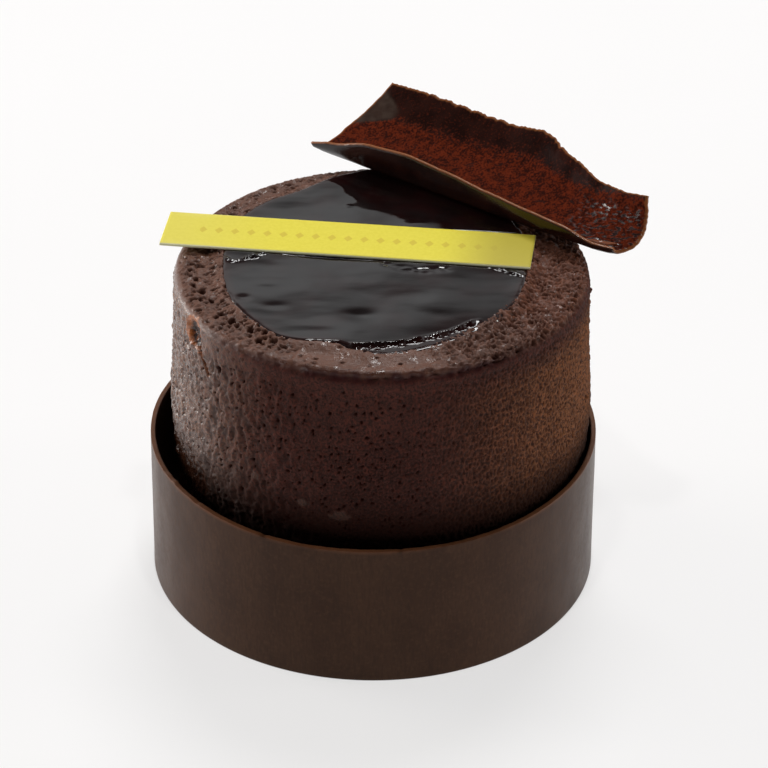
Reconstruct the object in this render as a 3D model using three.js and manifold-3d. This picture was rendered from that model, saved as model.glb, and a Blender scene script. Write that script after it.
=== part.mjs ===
// An individual black forest cake: a drum of chocolate mousse in a low chocolate band, with a pool
// of dark cherry glaze, a yellow label strip and a bent chocolate shard on top.
// Millimetres, +Z up. The origin is the centre of the band's foot, on the surface the cake stands on.
// The label's length runs roughly along X and -Y is the side that shows.

import * as THREE from "three";
import { mergeVertices } from "three/addons/utils/BufferGeometryUtils.js";
import Module from "manifold-3d";

// ---- driving dimensions -------------------------------------------------------------------------

const TOUCH_GAP = 0.35; // kept between pieces that rest on or in each other

const BAND = { radius: 32, footFlare: 0.08, height: 21.8, wall: 0.7, waver: 0.06 };

const CAKE = {
  offset: 1.1, // the drum stands a little towards +X inside its band
  footRadius: 29.3,
  waistRadius: 29.95, // its widest, just above the band
  topRadius: 29.2,
  height: 48.55,
  waistHeight: 27.5,
  footRound: 0.8,
  rimRound: 2.3,
  lip: 0.3, // how far the rim stands proud along its front
};

const GLAZE = {
  nominalRadius: 23.5,
  bed: 1.3, // depth of the bed that it was poured into
  level: 49.25,
  edgeRound: 0.75,
  wave: 0.1,
  // outline radius every 15 degrees, counter-clockwise from +X
  radii: [
    20.4, 20.9, 21.6, 22.5, 23.6, 25.4, 26.6, 25.0, 22.9, 23.2, 23.1, 22.5,
    22.1, 22.4, 23.4, 24.1, 24.6, 23.3, 25.0, 24.1, 22.9, 22.4, 21.5, 20.7,
  ],
};

const LABEL = {
  length: 52.3,
  width: 9.3,
  thickness: 0.4,
  corner: 0.25,
  centre: [-3.6, 4.7],
  turn: -7.0, // degrees about Z
};

// The shard is a thin sheet bent into a trough. It is described in its own directions: s along the
// trough, t from its lowest line towards its back, h up from its lowest point.
const SHARD = {
  heading: -36.87, // degrees about Z, direction of s
  behindCentre: 19.1, // lowest line, measured from the drum's axis along t
  thickness: 0.8,
  edgeThickness: 0.5, // the sheet thins towards its edges
  // stations along s: front lip's lean and height, back edge's reach and height, rise of the floor
  stations: [
    { s: -27, lean: 1.2, lip: 1.8, reach: 13.0, back: 6.3, rise: 0.5 },
    { s: -23, lean: 1.0, lip: 2.8, reach: 14.0, back: 6.5, rise: 0.2 },
    { s: -16, lean: 1.0, lip: 4.8, reach: 14.0, back: 6.8, rise: 0.0 },
    { s: -9, lean: 1.0, lip: 5.4, reach: 14.0, back: 6.7, rise: 0.0 },
    { s: -2, lean: 1.0, lip: 4.9, reach: 14.0, back: 6.5, rise: 0.0 },
    { s: 5, lean: 1.0, lip: 4.1, reach: 14.0, back: 7.3, rise: 0.0 },
    { s: 12, lean: 1.0, lip: 3.5, reach: 11.2, back: 6.3, rise: 0.0 },
    { s: 18, lean: 1.0, lip: 3.1, reach: 8.8, back: 5.7, rise: 0.2 },
    { s: 23, lean: 0.9, lip: 2.0, reach: 7.3, back: 6.5, rise: 0.5 },
    { s: 29, lean: -0.3, lip: 1.9, reach: 6.8, back: 7.6, rise: 0.9 },
  ],
  // where the sheet ends at its left and at its right, from the front lip (first) to the back edge
  leftEnd: [-26.4, -25.5, -25.1, -24.1, -22.9],
  rightEnd: [25.2, 27.2, 28.1, 27.7, 27.0],
};

const EDGE_SHARE = 0.07; // share of the sheet's width and length over which it thins

const BUBBLES = { count: 46, smallest: 0.35, largest: 0.8, depth: 0.8, seed: 7 };

const DIVISIONS = { round: 96, glaze: 72, shardLong: 44, shardAcross: 14 };

// ---- small helpers ------------------------------------------------------------------------------

const rad = THREE.MathUtils.degToRad;
const mix = THREE.MathUtils.lerp;
const turnOf = (x, y) => (Math.atan2(y, x) + 2 * Math.PI) % (2 * Math.PI);

// A smooth curve through values that are evenly spaced round a circle.
function roundTheCircle(values, angle) {
  const n = values.length;
  const place = (angle / (2 * Math.PI)) * n;
  const i = Math.floor(place);
  const f = place - i;
  const at = (k) => values[(i + k + n) % n];
  const [a, b, c, d] = [at(-1), at(0), at(1), at(2)];
  return b + 0.5 * f * (c - a + f * (2 * a - 5 * b + 4 * c - d + f * (3 * (b - c) + d - a)));
}

// A smooth curve through values that are evenly spaced over 0..1.
function alongTheEdge(values, place) {
  const x = THREE.MathUtils.clamp(place, 0, 1) * (values.length - 1);
  const i = Math.min(Math.floor(x), values.length - 2);
  const at = (k) => values[THREE.MathUtils.clamp(i + k, 0, values.length - 1)];
  const f = x - i;
  const [a, b, c, d] = [at(-1), at(0), at(1), at(2)];
  return b + 0.5 * f * (c - a + f * (2 * a - 5 * b + 4 * c - d + f * (3 * (b - c) + d - a)));
}

function seededRandom(seed) {
  let state = seed;
  return () => {
    state = (state * 1664525 + 1013904223) % 4294967296;
    return state / 4294967296;
  };
}

// A turned body about Z whose points then move: shape(radius, angle, z) gives the new [radius, z].
function turned(profile, segments, shape) {
  const outline = profile.map(([r, z]) => new THREE.Vector2(r, z));
  const geometry = new THREE.LatheGeometry(outline, segments);
  geometry.rotateX(Math.PI / 2);
  return moved(geometry, (p) => {
    const radius = Math.hypot(p.x, p.y);
    const angle = turnOf(p.x, p.y);
    const [r, z] = shape(radius, angle, p.z);
    const along = radius > 1e-6 ? r / radius : 0;
    p.set(p.x * along, p.y * along, z);
  });
}

// Moves each point of a geometry in place and merges the points that coincide.
function moved(geometry, move) {
  geometry.deleteAttribute("uv");
  geometry.deleteAttribute("normal");
  const merged = mergeVertices(geometry, 1e-4);
  const position = merged.getAttribute("position");
  const point = new THREE.Vector3();
  for (let i = 0; i < position.count; i++) {
    move(point.fromBufferAttribute(position, i));
    position.setXYZ(i, point.x, point.y, point.z);
  }
  merged.computeVertexNormals();
  return merged;
}

function arc(centreR, centreZ, radius, fromDeg, toDeg, steps) {
  return Array.from({ length: steps + 1 }, (_, i) => {
    const a = rad(mix(fromDeg, toDeg, i / steps));
    return [centreR + radius * Math.cos(a), centreZ + radius * Math.sin(a)];
  });
}

// ---- solids that cut ----------------------------------------------------------------------------

const wasm = await Module();
wasm.setup();

function toSolid(geometry) {
  const bare = geometry.clone();
  bare.deleteAttribute("uv");
  bare.deleteAttribute("normal");
  const merged = mergeVertices(bare, 1e-4);
  return new wasm.Manifold(
    new wasm.Mesh({
      numProp: 3,
      vertProperties: new Float32Array(merged.getAttribute("position").array),
      triVerts: new Uint32Array(merged.index.array),
    }),
  );
}

function toGeometry(solid) {
  const mesh = solid.getMesh();
  const geometry = new THREE.BufferGeometry();
  geometry.setAttribute("position", new THREE.BufferAttribute(mesh.vertProperties, 3));
  geometry.setIndex(new THREE.BufferAttribute(mesh.triVerts, 1));
  geometry.computeVertexNormals();
  return geometry;
}

// ---- the glaze's outline, shared by the glaze and by the bed in the drum ---------------------------

const glazeRadius = (angle) => roundTheCircle(GLAZE.radii, angle);

// ---- chocolate mousse drum ------------------------------------------------------------------------

// The side swells from the foot to the waist and draws in again towards the rim.
function sideRadius(z) {
  const { footRadius, waistRadius, topRadius, waistHeight, height } = CAKE;
  if (z < waistHeight) {
    return mix(footRadius, waistRadius, THREE.MathUtils.smoothstep(z / waistHeight, 0.6, 1));
  }
  const up = Math.min(1, (z - waistHeight) / (height - waistHeight));
  return mix(topRadius, waistRadius, (1 - up) ** 1.8);
}

function drumProfile() {
  const bedRadius = GLAZE.nominalRadius + TOUCH_GAP;
  const { height, footRadius, footRound, rimRound, topRadius } = CAKE;
  const shoulder = height - rimRound;
  const sides = [9, 16, 20, 24, 27.5, 31, 35, 39, 43].map((z) => [sideRadius(z), z]);
  const ringInner = [topRadius - rimRound, bedRadius];
  const ring = [0.33, 0.67].map((k) => [mix(...ringInner, k), height]);
  return [
    [0, 0],
    [footRadius * 0.5, 0],
    ...arc(footRadius - footRound, footRound, footRound, -90, 0, 2),
    ...sides,
    ...arc(topRadius - rimRound, shoulder, rimRound, 0, 90, 5),
    ...ring,
    [bedRadius, height],
    [bedRadius, height - GLAZE.bed],
    [bedRadius * 0.5, height - GLAZE.bed],
    [0, height - GLAZE.bed],
  ];
}

// The bed's wall follows the glaze, the ring round it closes up to the rim, and the rim's front
// stands proud like a lip.
function shapeDrum(radius, angle, z) {
  const bedRadius = GLAZE.nominalRadius + TOUCH_GAP;
  const ringOuter = CAKE.topRadius - CAKE.rimRound;
  const wall = glazeRadius(angle) + TOUCH_GAP;
  const front = Math.max(0, -Math.sin(angle)) ** 2;
  const atRim = Math.exp(-(((z - CAKE.height + 1.2) / 1.4) ** 2));
  if (z > CAKE.height - GLAZE.bed - 0.01 && radius <= bedRadius + 0.01) {
    return [(radius / bedRadius) * wall, z];
  }
  if (z > CAKE.height - 0.01 && radius < ringOuter) {
    return [mix(wall, ringOuter, (radius - bedRadius) / (ringOuter - bedRadius)), z];
  }
  const settled = 0.12 * Math.sin(3 * angle + 0.6) * atRim;
  const proud = radius > ringOuter ? CAKE.lip * front * atRim : 0;
  return [radius + proud, z + (radius > ringOuter ? settled * 0.5 : 0)];
}

function bubble(angle, radius, z, size, stretch, swing) {
  const pit = new THREE.SphereGeometry(1, 6, 4);
  pit.scale(size, size * stretch, size * BUBBLES.depth);
  pit.rotateZ(swing);
  pit.translate(radius * Math.cos(angle), radius * Math.sin(angle), z);
  return toSolid(pit);
}

// Open bubbles round the top ring, fewer along the front where the ring is smooth.
function ringBubbles() {
  const random = seededRandom(BUBBLES.seed);
  const pits = [];
  while (pits.length < BUBBLES.count) {
    const angle = random() * 2 * Math.PI;
    const keep = random();
    const place = random();
    const size = mix(BUBBLES.smallest, BUBBLES.largest, random() ** 2);
    const stretch = mix(1.0, 1.5, random());
    const swing = random() * Math.PI;
    const front = Math.max(0, -Math.sin(angle)) ** 4;
    const room = size * stretch + 0.25;
    const inner = glazeRadius(angle) + TOUCH_GAP + room;
    const outer = CAKE.topRadius - CAKE.rimRound * 0.6;
    if (keep > front && outer > inner) {
      const radius = mix(inner, outer, place);
      pits.push(bubble(angle, radius, CAKE.height, size, stretch, swing));
    }
  }
  return pits;
}

// The torn pit at the drum's left shoulder and the scratch that runs down from it.
function shoulderTear() {
  const marks = [
    { turn: -152, z: 47.0, wide: 1.1, high: 1.6, deep: 0.8, slant: 15 },
    { turn: -148, z: 43.9, wide: 0.4, high: 2.9, deep: 0.4, slant: 38 },
    { turn: -138.8, z: 42.8, wide: 0.6, high: 0.6, deep: 0.5, slant: 0 },
  ];
  return marks.map(({ turn, z, wide, high, deep, slant }) => {
    const cut = new THREE.SphereGeometry(1, 8, 6);
    cut.scale(deep, wide, high);
    cut.rotateX(rad(slant));
    cut.rotateZ(rad(turn));
    const radius = sideRadius(z);
    cut.translate(radius * Math.cos(rad(turn)), radius * Math.sin(rad(turn)), z);
    return toSolid(cut);
  });
}

function makeDrum() {
  let drum = toSolid(turned(drumProfile(), DIVISIONS.round, shapeDrum));
  for (const pit of [...ringBubbles(), ...shoulderTear()]) {
    drum = drum.subtract(pit);
  }
  return toGeometry(drum);
}

// ---- chocolate band -------------------------------------------------------------------------------

// A thin hoop: its profile goes up the outside, over the rim and down the inside, and closes.
function makeBand() {
  const { radius, footFlare, height, wall, waver } = BAND;
  const foot = radius + footFlare;
  const levels = [0, 0.25, 0.5, 0.75, 1];
  const outside = levels.map((k) => [mix(foot, radius, k), height * k]);
  const inside = levels.map((k) => [mix(foot, radius, 1 - k) - wall, height * (1 - k)]);
  const profile = [...outside, ...inside, outside[0]];
  return turned(profile, DIVISIONS.round, (r, angle, z) => {
    const high = z / height;
    const rimWave = 0.08 * Math.sin(2 * angle + 1.1) + 0.05 * Math.sin(7 * angle);
    const outward = waver * high * Math.sin(3 * angle + 0.4);
    return [r + outward, z + (high > 0.99 ? rimWave : 0)];
  });
}

// ---- cherry glaze ---------------------------------------------------------------------------------

// Height of the glaze's skin over a point of the top, with the slow waves it set with.
function glazeSkin(x, y) {
  const slow = Math.sin(0.33 * x + 0.21 * y + 0.8) + Math.sin(0.19 * x - 0.41 * y);
  return GLAZE.level + GLAZE.wave * 0.5 * slow;
}

function makeGlaze() {
  const { nominalRadius, edgeRound, level, bed } = GLAZE;
  const floor = CAKE.height - bed + TOUCH_GAP;
  const rimInner = nominalRadius - edgeRound;
  const rings = [0.8, 0.6, 0.4, 0.2].map((k) => [rimInner * k, level]);
  const profile = [
    [0, floor],
    [nominalRadius, floor],
    ...arc(rimInner, level - edgeRound, edgeRound, 0, 90, 4),
    ...rings,
    [0, level],
  ];
  return turned(profile, DIVISIONS.glaze, (r, angle, z) => {
    const radius = (r / nominalRadius) * glazeRadius(angle);
    if (z < level - edgeRound - 0.01) return [radius, z];
    const [x, y] = [radius * Math.cos(angle), radius * Math.sin(angle)];
    const share = THREE.MathUtils.clamp((z - level + edgeRound) / edgeRound, 0, 1);
    return [radius, z + (glazeSkin(x, y) - level) * share];
  });
}

// ---- label strip ----------------------------------------------------------------------------------

function makeLabel() {
  const { length, width, thickness, corner } = LABEL;
  const [a, b] = [length / 2 - corner, width / 2 - corner];
  const outline = new THREE.Shape();
  outline.absarc(a, b, corner, 0, Math.PI / 2);
  outline.absarc(-a, b, corner, Math.PI / 2, Math.PI);
  outline.absarc(-a, -b, corner, Math.PI, 1.5 * Math.PI);
  outline.absarc(a, -b, corner, 1.5 * Math.PI, 2 * Math.PI);
  outline.closePath();
  return new THREE.ExtrudeGeometry(outline, {
    depth: thickness,
    bevelEnabled: false,
    curveSegments: 3,
  });
}

// ---- chocolate shard ------------------------------------------------------------------------------

// The station values at a place along the trough, on smooth curves between the stations.
function stationAt(s) {
  const list = SHARD.stations;
  const last = list.length - 2;
  const i = THREE.MathUtils.clamp(list.findIndex((k) => k.s > s) - 1, 0, last);
  const f = (s - list[i].s) / (list[i + 1].s - list[i].s);
  const soft = f * f * (3 - 2 * f);
  const value = (key) => mix(list[i][key], list[i + 1][key], mix(f, soft, 0.5));
  return {
    lean: value("lean"),
    lip: value("lip"),
    reach: value("reach"),
    back: value("back"),
    rise: value("rise"),
  };
}

// The sheet's middle line across the trough at s: from the front lip, down, and up to the back edge.
function crossSection(s) {
  const { lean, lip, reach, back, rise } = stationAt(s);
  const low = SHARD.thickness / 2 + rise;
  return new THREE.SplineCurve([
    new THREE.Vector2(-lean, Math.max(lip, low + 0.1)),
    new THREE.Vector2(-lean * 0.75, mix(low, Math.max(lip, low + 0.1), 0.42)),
    new THREE.Vector2(0.5, low),
    new THREE.Vector2(reach * 0.3, mix(low, back, 0.08)),
    new THREE.Vector2(reach * 0.66, mix(low, back, 0.4)),
    new THREE.Vector2(reach, back),
  ]);
}

function makeShard() {
  const { thickness, edgeThickness, leftEnd, rightEnd } = SHARD;
  const flat = new THREE.BoxGeometry(1, 1, 1, DIVISIONS.shardLong, DIVISIONS.shardAcross, 1);
  return moved(flat, (p) => {
    const across = p.y + 0.5;
    const s = mix(alongTheEdge(leftEnd, across), alongTheEdge(rightEnd, across), p.x + 0.5);
    const section = crossSection(s);
    const middle = section.getPointAt(across);
    const along = section.getTangentAt(across);
    const fromEdge = Math.min(across, 1 - across, p.x + 0.5, 0.5 - p.x) / EDGE_SHARE;
    const off = p.z * mix(edgeThickness, thickness, Math.min(1, fromEdge));
    p.set(s, middle.x - along.y * off, middle.y + along.x * off);
  });
}

// ---- the cake put together ------------------------------------------------------------------------

function piece(name, geometry, color, roughness) {
  const material = new THREE.MeshStandardMaterial({ color, roughness, metalness: 0 });
  const mesh = new THREE.Mesh(geometry, material);
  mesh.name = name;
  return mesh;
}

const cake = new THREE.Group();
cake.add(piece("chocolate_band", makeBand(), 0x3a2a26, 0.45));

const drumGroup = new THREE.Group();
drumGroup.position.x = CAKE.offset;
drumGroup.add(piece("mousse_drum", makeDrum(), 0x3c221c, 0.75));
drumGroup.add(piece("cherry_glaze", makeGlaze(), 0x160a0b, 0.08));
cake.add(drumGroup);

const restsOnGlaze = GLAZE.level + GLAZE.wave + TOUCH_GAP;

const label = piece("label_strip", makeLabel(), 0xe9df5c, 0.5);
label.position.set(LABEL.centre[0], LABEL.centre[1], restsOnGlaze);
label.rotation.z = rad(LABEL.turn);
cake.add(label);

const shardGroup = new THREE.Group();
const shardSide = rad(SHARD.heading + 90);
shardGroup.position.set(
  CAKE.offset + SHARD.behindCentre * Math.cos(shardSide),
  SHARD.behindCentre * Math.sin(shardSide),
  restsOnGlaze,
);
shardGroup.rotation.z = rad(SHARD.heading);
shardGroup.add(piece("chocolate_shard", makeShard(), 0x5a2412, 0.55));
cake.add(shardGroup);

export default cake;
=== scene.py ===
"""Looks for an individual black forest cake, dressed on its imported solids.

Lengths are in millimetres until a mesh is made, and angles in degrees, counter-clockwise from +X.
The drum and its glaze are round about an axis that stands DRUM["offset"] towards +X.
"""

import math

import bpy
import numpy as np
from mathutils import Matrix, Vector


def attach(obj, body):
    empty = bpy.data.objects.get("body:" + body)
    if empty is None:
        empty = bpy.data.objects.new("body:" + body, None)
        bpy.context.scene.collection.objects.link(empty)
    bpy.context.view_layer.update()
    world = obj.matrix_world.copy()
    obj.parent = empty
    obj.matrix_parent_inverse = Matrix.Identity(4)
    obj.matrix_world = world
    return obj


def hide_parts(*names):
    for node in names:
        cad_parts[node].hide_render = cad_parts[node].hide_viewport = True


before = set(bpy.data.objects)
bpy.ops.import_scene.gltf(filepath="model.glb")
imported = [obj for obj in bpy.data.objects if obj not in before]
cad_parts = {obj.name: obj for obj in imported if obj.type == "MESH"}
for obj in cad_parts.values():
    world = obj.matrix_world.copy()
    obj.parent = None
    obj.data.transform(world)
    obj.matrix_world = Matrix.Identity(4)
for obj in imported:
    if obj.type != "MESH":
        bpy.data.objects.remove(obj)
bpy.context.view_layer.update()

# ---- driving dimensions ----

MM = 0.001  # metres in a millimetre
FINE = 1.0  # share of the full mesh density

BAND = {"radius": 32.0, "flare": 0.08, "height": 21.8, "wall": 0.7, "rim_round": 0.07}

DRUM = {
    "offset": 1.1,
    "foot": 29.3,
    "waist": 29.95,
    "top": 29.2,
    "height": 48.55,
    "waist_height": 27.5,
    "foot_round": 0.8,
    "rim_round": 2.3,
    "lip": 0.3,
    "bed": 1.3,
}

GLAZE = {
    "level": 49.42,
    "floor": 47.6,
    "wave": 0.1,
    # outline radius every 15 degrees from +X
    "radii": [
        20.4, 20.9, 21.6, 22.5, 23.6, 25.4, 26.6, 25.0, 22.9, 23.2, 23.1, 22.5,
        22.1, 22.4, 23.4, 24.1, 24.6, 23.3, 25.0, 24.1, 22.9, 22.4, 21.5, 20.7,
    ],
}

REST = 49.70  # height of the faces that lie on the glaze
SUNK = 0.22  # how far the label's weight presses it into the glaze

LABEL = {
    "length": 52.3,
    "width": 9.3,
    "thickness": 0.4,
    "edge_round": 0.07,
    "bevel": 0.28,
    "centre": (-3.6, 4.7),
    "turn": -7.0,
}

SHARD = {
    "heading": -36.87,
    "behind": 19.1,
    "thickness": 0.8,
    "edge_thickness": 0.5,
    # s along the trough, then the front lip's lean and height, the back edge's reach and height, and
    # the rise of the floor
    "stations": [
        (-27, 1.2, 1.8, 13.0, 6.3, 0.5),
        (-23, 1.0, 2.8, 14.0, 6.5, 0.2),
        (-16, 1.0, 4.8, 14.0, 6.8, 0.0),
        (-9, 1.0, 5.4, 14.0, 6.7, 0.0),
        (-2, 1.0, 4.9, 14.0, 6.5, 0.0),
        (5, 1.0, 4.1, 14.0, 7.3, 0.0),
        (12, 1.0, 3.5, 11.2, 6.3, 0.0),
        (18, 1.0, 3.1, 8.8, 5.7, 0.2),
        (23, 0.9, 2.0, 7.3, 6.5, 0.5),
        (29, -0.3, 1.9, 6.8, 7.6, 0.9),
    ],
    # s of the two ends, from the lip to the back edge
    "left_end": [-26.4, -25.5, -25.1, -24.1, -22.9],
    "right_end": [26.2, 28.2, 28.5, 27.9, 27.0],
}

CAMERA = {
    "image": 768,  # pixels
    "pixels_per_radian": 3500.0,
    "elevation": 32.15,
    "distance": 500.0,
    "target": (1.54, 0.0, 28.70),
    "roll": 0.26,
    "sensor": 36.0,
}

# ---- smooth values and repeatable noise ----


def mix(a, b, share):
    return a + (b - a) * share


def ease(x, low, high):
    """A smooth step from 0 at low to 1 at high."""
    t = np.clip((x - low) / (high - low), 0, 1)
    return t * t * (3 - 2 * t)


def fall(x, low, high):
    """A smooth step from 1 at low to 0 at high."""
    return 1 - ease(x, low, high)


def bell(x, wide):
    """1 at 0, falling off over about wide."""
    return np.exp(-((x / wide) ** 2))


def cubic(a, b, c, d, f):
    """The Catmull-Rom curve between b and c."""
    return b + 0.5 * f * (c - a + f * (2 * a - 5 * b + 4 * c - d + f * (3 * (b - c) + d - a)))


def around(values, degrees):
    """A smooth curve through values spaced evenly round a circle."""
    values = np.asarray(values, float)
    place = np.asarray(degrees, float) % 360 / 360 * len(values)
    i = np.floor(place).astype(int)
    a, b, c, d = (values[(i + k) % len(values)] for k in (-1, 0, 1, 2))
    return cubic(a, b, c, d, place - i)


def along(values, share):
    """A smooth curve through values spaced evenly over 0..1."""
    values = np.asarray(values, float)
    last = len(values) - 1
    x = np.clip(share, 0, 1) * last
    i = np.minimum(np.floor(x).astype(int), last - 1)
    a, b, c, d = (values[np.clip(i + k, 0, last)] for k in (-1, 0, 1, 2))
    return cubic(a, b, c, d, x - i)


def turned_from(degrees, centre):
    """Degrees from centre, between -180 and 180."""
    return (degrees - centre + 180) % 360 - 180


def turned(x, y, degrees):
    """A place as measured along and across axes that are turned by an angle."""
    turn = math.radians(degrees)
    return x * math.cos(turn) + y * math.sin(turn), y * math.cos(turn) - x * math.sin(turn)


def circle(radius, step):
    """Angles round a circle, about step apart along it."""
    count = int(round(2 * math.pi * radius / step))
    return np.arange(count) * 360 / count - 180


def polar(radius, degrees, z):
    """Points about the Z axis."""
    turn = np.radians(degrees)
    return np.stack([radius * np.cos(turn), radius * np.sin(turn), z], -1)


def length_along(line):
    """Distance of each point of a line from its start."""
    steps = np.linalg.norm(np.diff(line, axis=0), axis=1)
    return np.concatenate([[0], np.cumsum(steps)])


def near_angle(degrees, centre, full, fade):
    """1 within full degrees of centre, and 0 past fade degrees."""
    return fall(np.abs(turned_from(degrees, centre)), full, fade)


def hashed(cells, seed):
    """A repeatable whole number for each lattice point, given as an array (..., 2 or 3)."""
    c = cells.astype(np.int64).astype(np.uint64)
    primes = (np.uint64(73856093), np.uint64(19349663), np.uint64(83492791))
    h = np.full(c.shape[:-1], (seed * 2654435761) & 0xFFFFFFFF, np.uint64)
    for k in range(c.shape[-1]):
        h ^= c[..., k] * primes[k]
        h = (h ^ (h >> np.uint64(15))) * np.uint64(2246822519) & np.uint64(0xFFFFFFFF)
    h = (h ^ (h >> np.uint64(13))) * np.uint64(3266489917) & np.uint64(0xFFFFFFFF)
    return h ^ (h >> np.uint64(16))


def tenth_bits(h, shift):
    """Ten bits of a hash as a number from 0 to 1."""
    return (h >> np.uint64(shift) & np.uint64(1023)).astype(float) / 1023


def noise(points, size, seed):
    """Smooth noise from about -1 to 1 whose lumps are `size` across."""
    q = points / np.asarray(size, float)
    cell = np.floor(q).astype(np.int64)
    f = q - cell
    fade = f * f * f * (f * (f * 6 - 15) + 10)
    total = np.zeros(q.shape[:-1])
    for corner in np.ndindex(2, 2, 2):
        h = hashed(cell + corner, seed)
        weight = np.ones_like(total)
        lean = np.zeros_like(total)
        for k in range(3):
            weight *= fade[..., k] if corner[k] else 1 - fade[..., k]
            lean += (tenth_bits(h, 10 * k) * 2 - 1) * (f[..., k] - corner[k])
        total += weight * lean
    return 1.5 * total


def cells(u, v, round_u, seed):
    """How far a point is from the nearest and the next of one random point in each unit square.

    u repeats after round_u squares. The third result is a random share for the nearest square."""
    base = np.stack([np.floor(u), np.floor(v)], -1).astype(np.int64)
    nearest = np.full(u.shape, 9.0)
    second = np.full(u.shape, 9.0)
    chance = np.zeros(u.shape)
    for step in np.ndindex(3, 3):
        square = base + (step[0] - 1, step[1] - 1)
        h = hashed(np.stack([square[..., 0] % round_u, square[..., 1]], -1), seed)
        x = square[..., 0] + 0.1 + 0.8 * tenth_bits(h, 0)
        y = square[..., 1] + 0.1 + 0.8 * tenth_bits(h, 10)
        far = np.hypot(u - x, v - y)
        chance = np.where(far < nearest, tenth_bits(h, 20), chance)
        second = np.minimum(second, np.maximum(nearest, far))
        nearest = np.minimum(nearest, far)
    return nearest, second, chance


def line_gap(x, y, line):
    """Distance of each point from the nearest part of an open line."""
    gap = np.full(np.shape(x), 99.0)
    for (ax, ay), (bx, by) in zip(line, line[1:]):
        dx, dy = bx - ax, by - ay
        share = np.clip(((x - ax) * dx + (y - ay) * dy) / (dx * dx + dy * dy), 0, 1)
        gap = np.minimum(gap, np.hypot(x - ax - share * dx, y - ay - share * dy))
    return gap


# ---- meshes from grids ----


def grid_faces(rows, columns, wrap_rows=False):
    """Quads of a grid whose columns close into a ring. They face out where rows go up."""
    last = rows if wrap_rows else rows - 1
    r, c = np.meshgrid(np.arange(last), np.arange(columns), indexing="ij")
    up = (r + 1) % rows
    right = (c + 1) % columns
    corners = (r * columns + c, r * columns + right, up * columns + right, up * columns + c)
    return np.stack(corners, -1).reshape(-1, 4).tolist()


def capped(points, low_tip, high_tip, inward=False):
    """The points and faces of a grid whose columns close into a ring, with a tip at each end.

    Its faces are turned round where inward is true."""
    rows, columns = points.shape[:2]
    count = rows * columns
    ends = [(range(columns), count, inward), (range(count - columns, count), count + 1, not inward)]
    faces = grid_faces(rows, columns)
    if inward:
        faces = [face[::-1] for face in faces]
    for ring, tip, forward in ends:
        ring = list(ring)
        pairs = zip(ring, ring[1:] + ring[:1])
        faces += [(tip, a, b) if forward else (tip, b, a) for a, b in pairs]
    return np.vstack([points.reshape(-1, 3), low_tip, high_tip]), faces


def corner(x, z, radius, degrees):
    """Points of a section's rounded corner about (x, z)."""
    return [(x + radius * math.cos(a), z + radius * math.sin(a)) for a in np.radians(degrees)]


def add_piece(name, points, faces, values, node, material):
    """A smooth mesh that rides on the cake and stands for a CAD node.

    The mesh carries some values at its points. Points past the end of a value get 0."""
    points = np.asarray(points).reshape(-1, 3)
    mesh = bpy.data.meshes.new(name)
    mesh.from_pydata((points * MM).tolist(), [], faces)
    for label, value in values.items():
        is_vector = value.ndim > 1 and value.shape[-1] == 3
        kind, field, parts = ("FLOAT_VECTOR", "vector", 3) if is_vector else ("FLOAT", "value", 1)
        filled = np.zeros(len(points) * parts, np.float32)
        filled[: value.size] = value.ravel()
        mesh.attributes.new(label, kind, "POINT").data.foreach_set(field, filled)
    mesh.validate()
    mesh.shade_smooth()
    piece = bpy.data.objects.new(name, mesh)
    bpy.context.scene.collection.objects.link(piece)
    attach(piece, "root")
    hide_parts(node)
    mesh.materials.append(material)


def grid_normals(points):
    """Unit normals of a grid of points whose columns close into a ring and whose rows go up."""
    up = np.gradient(points, axis=0)
    side = np.roll(points, -1, axis=1) - np.roll(points, 1, axis=1)
    normal = np.cross(side, up)
    length = np.linalg.norm(normal, axis=-1, keepdims=True)
    return normal / np.maximum(length, 1e-9)


# ---- materials ----


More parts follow.
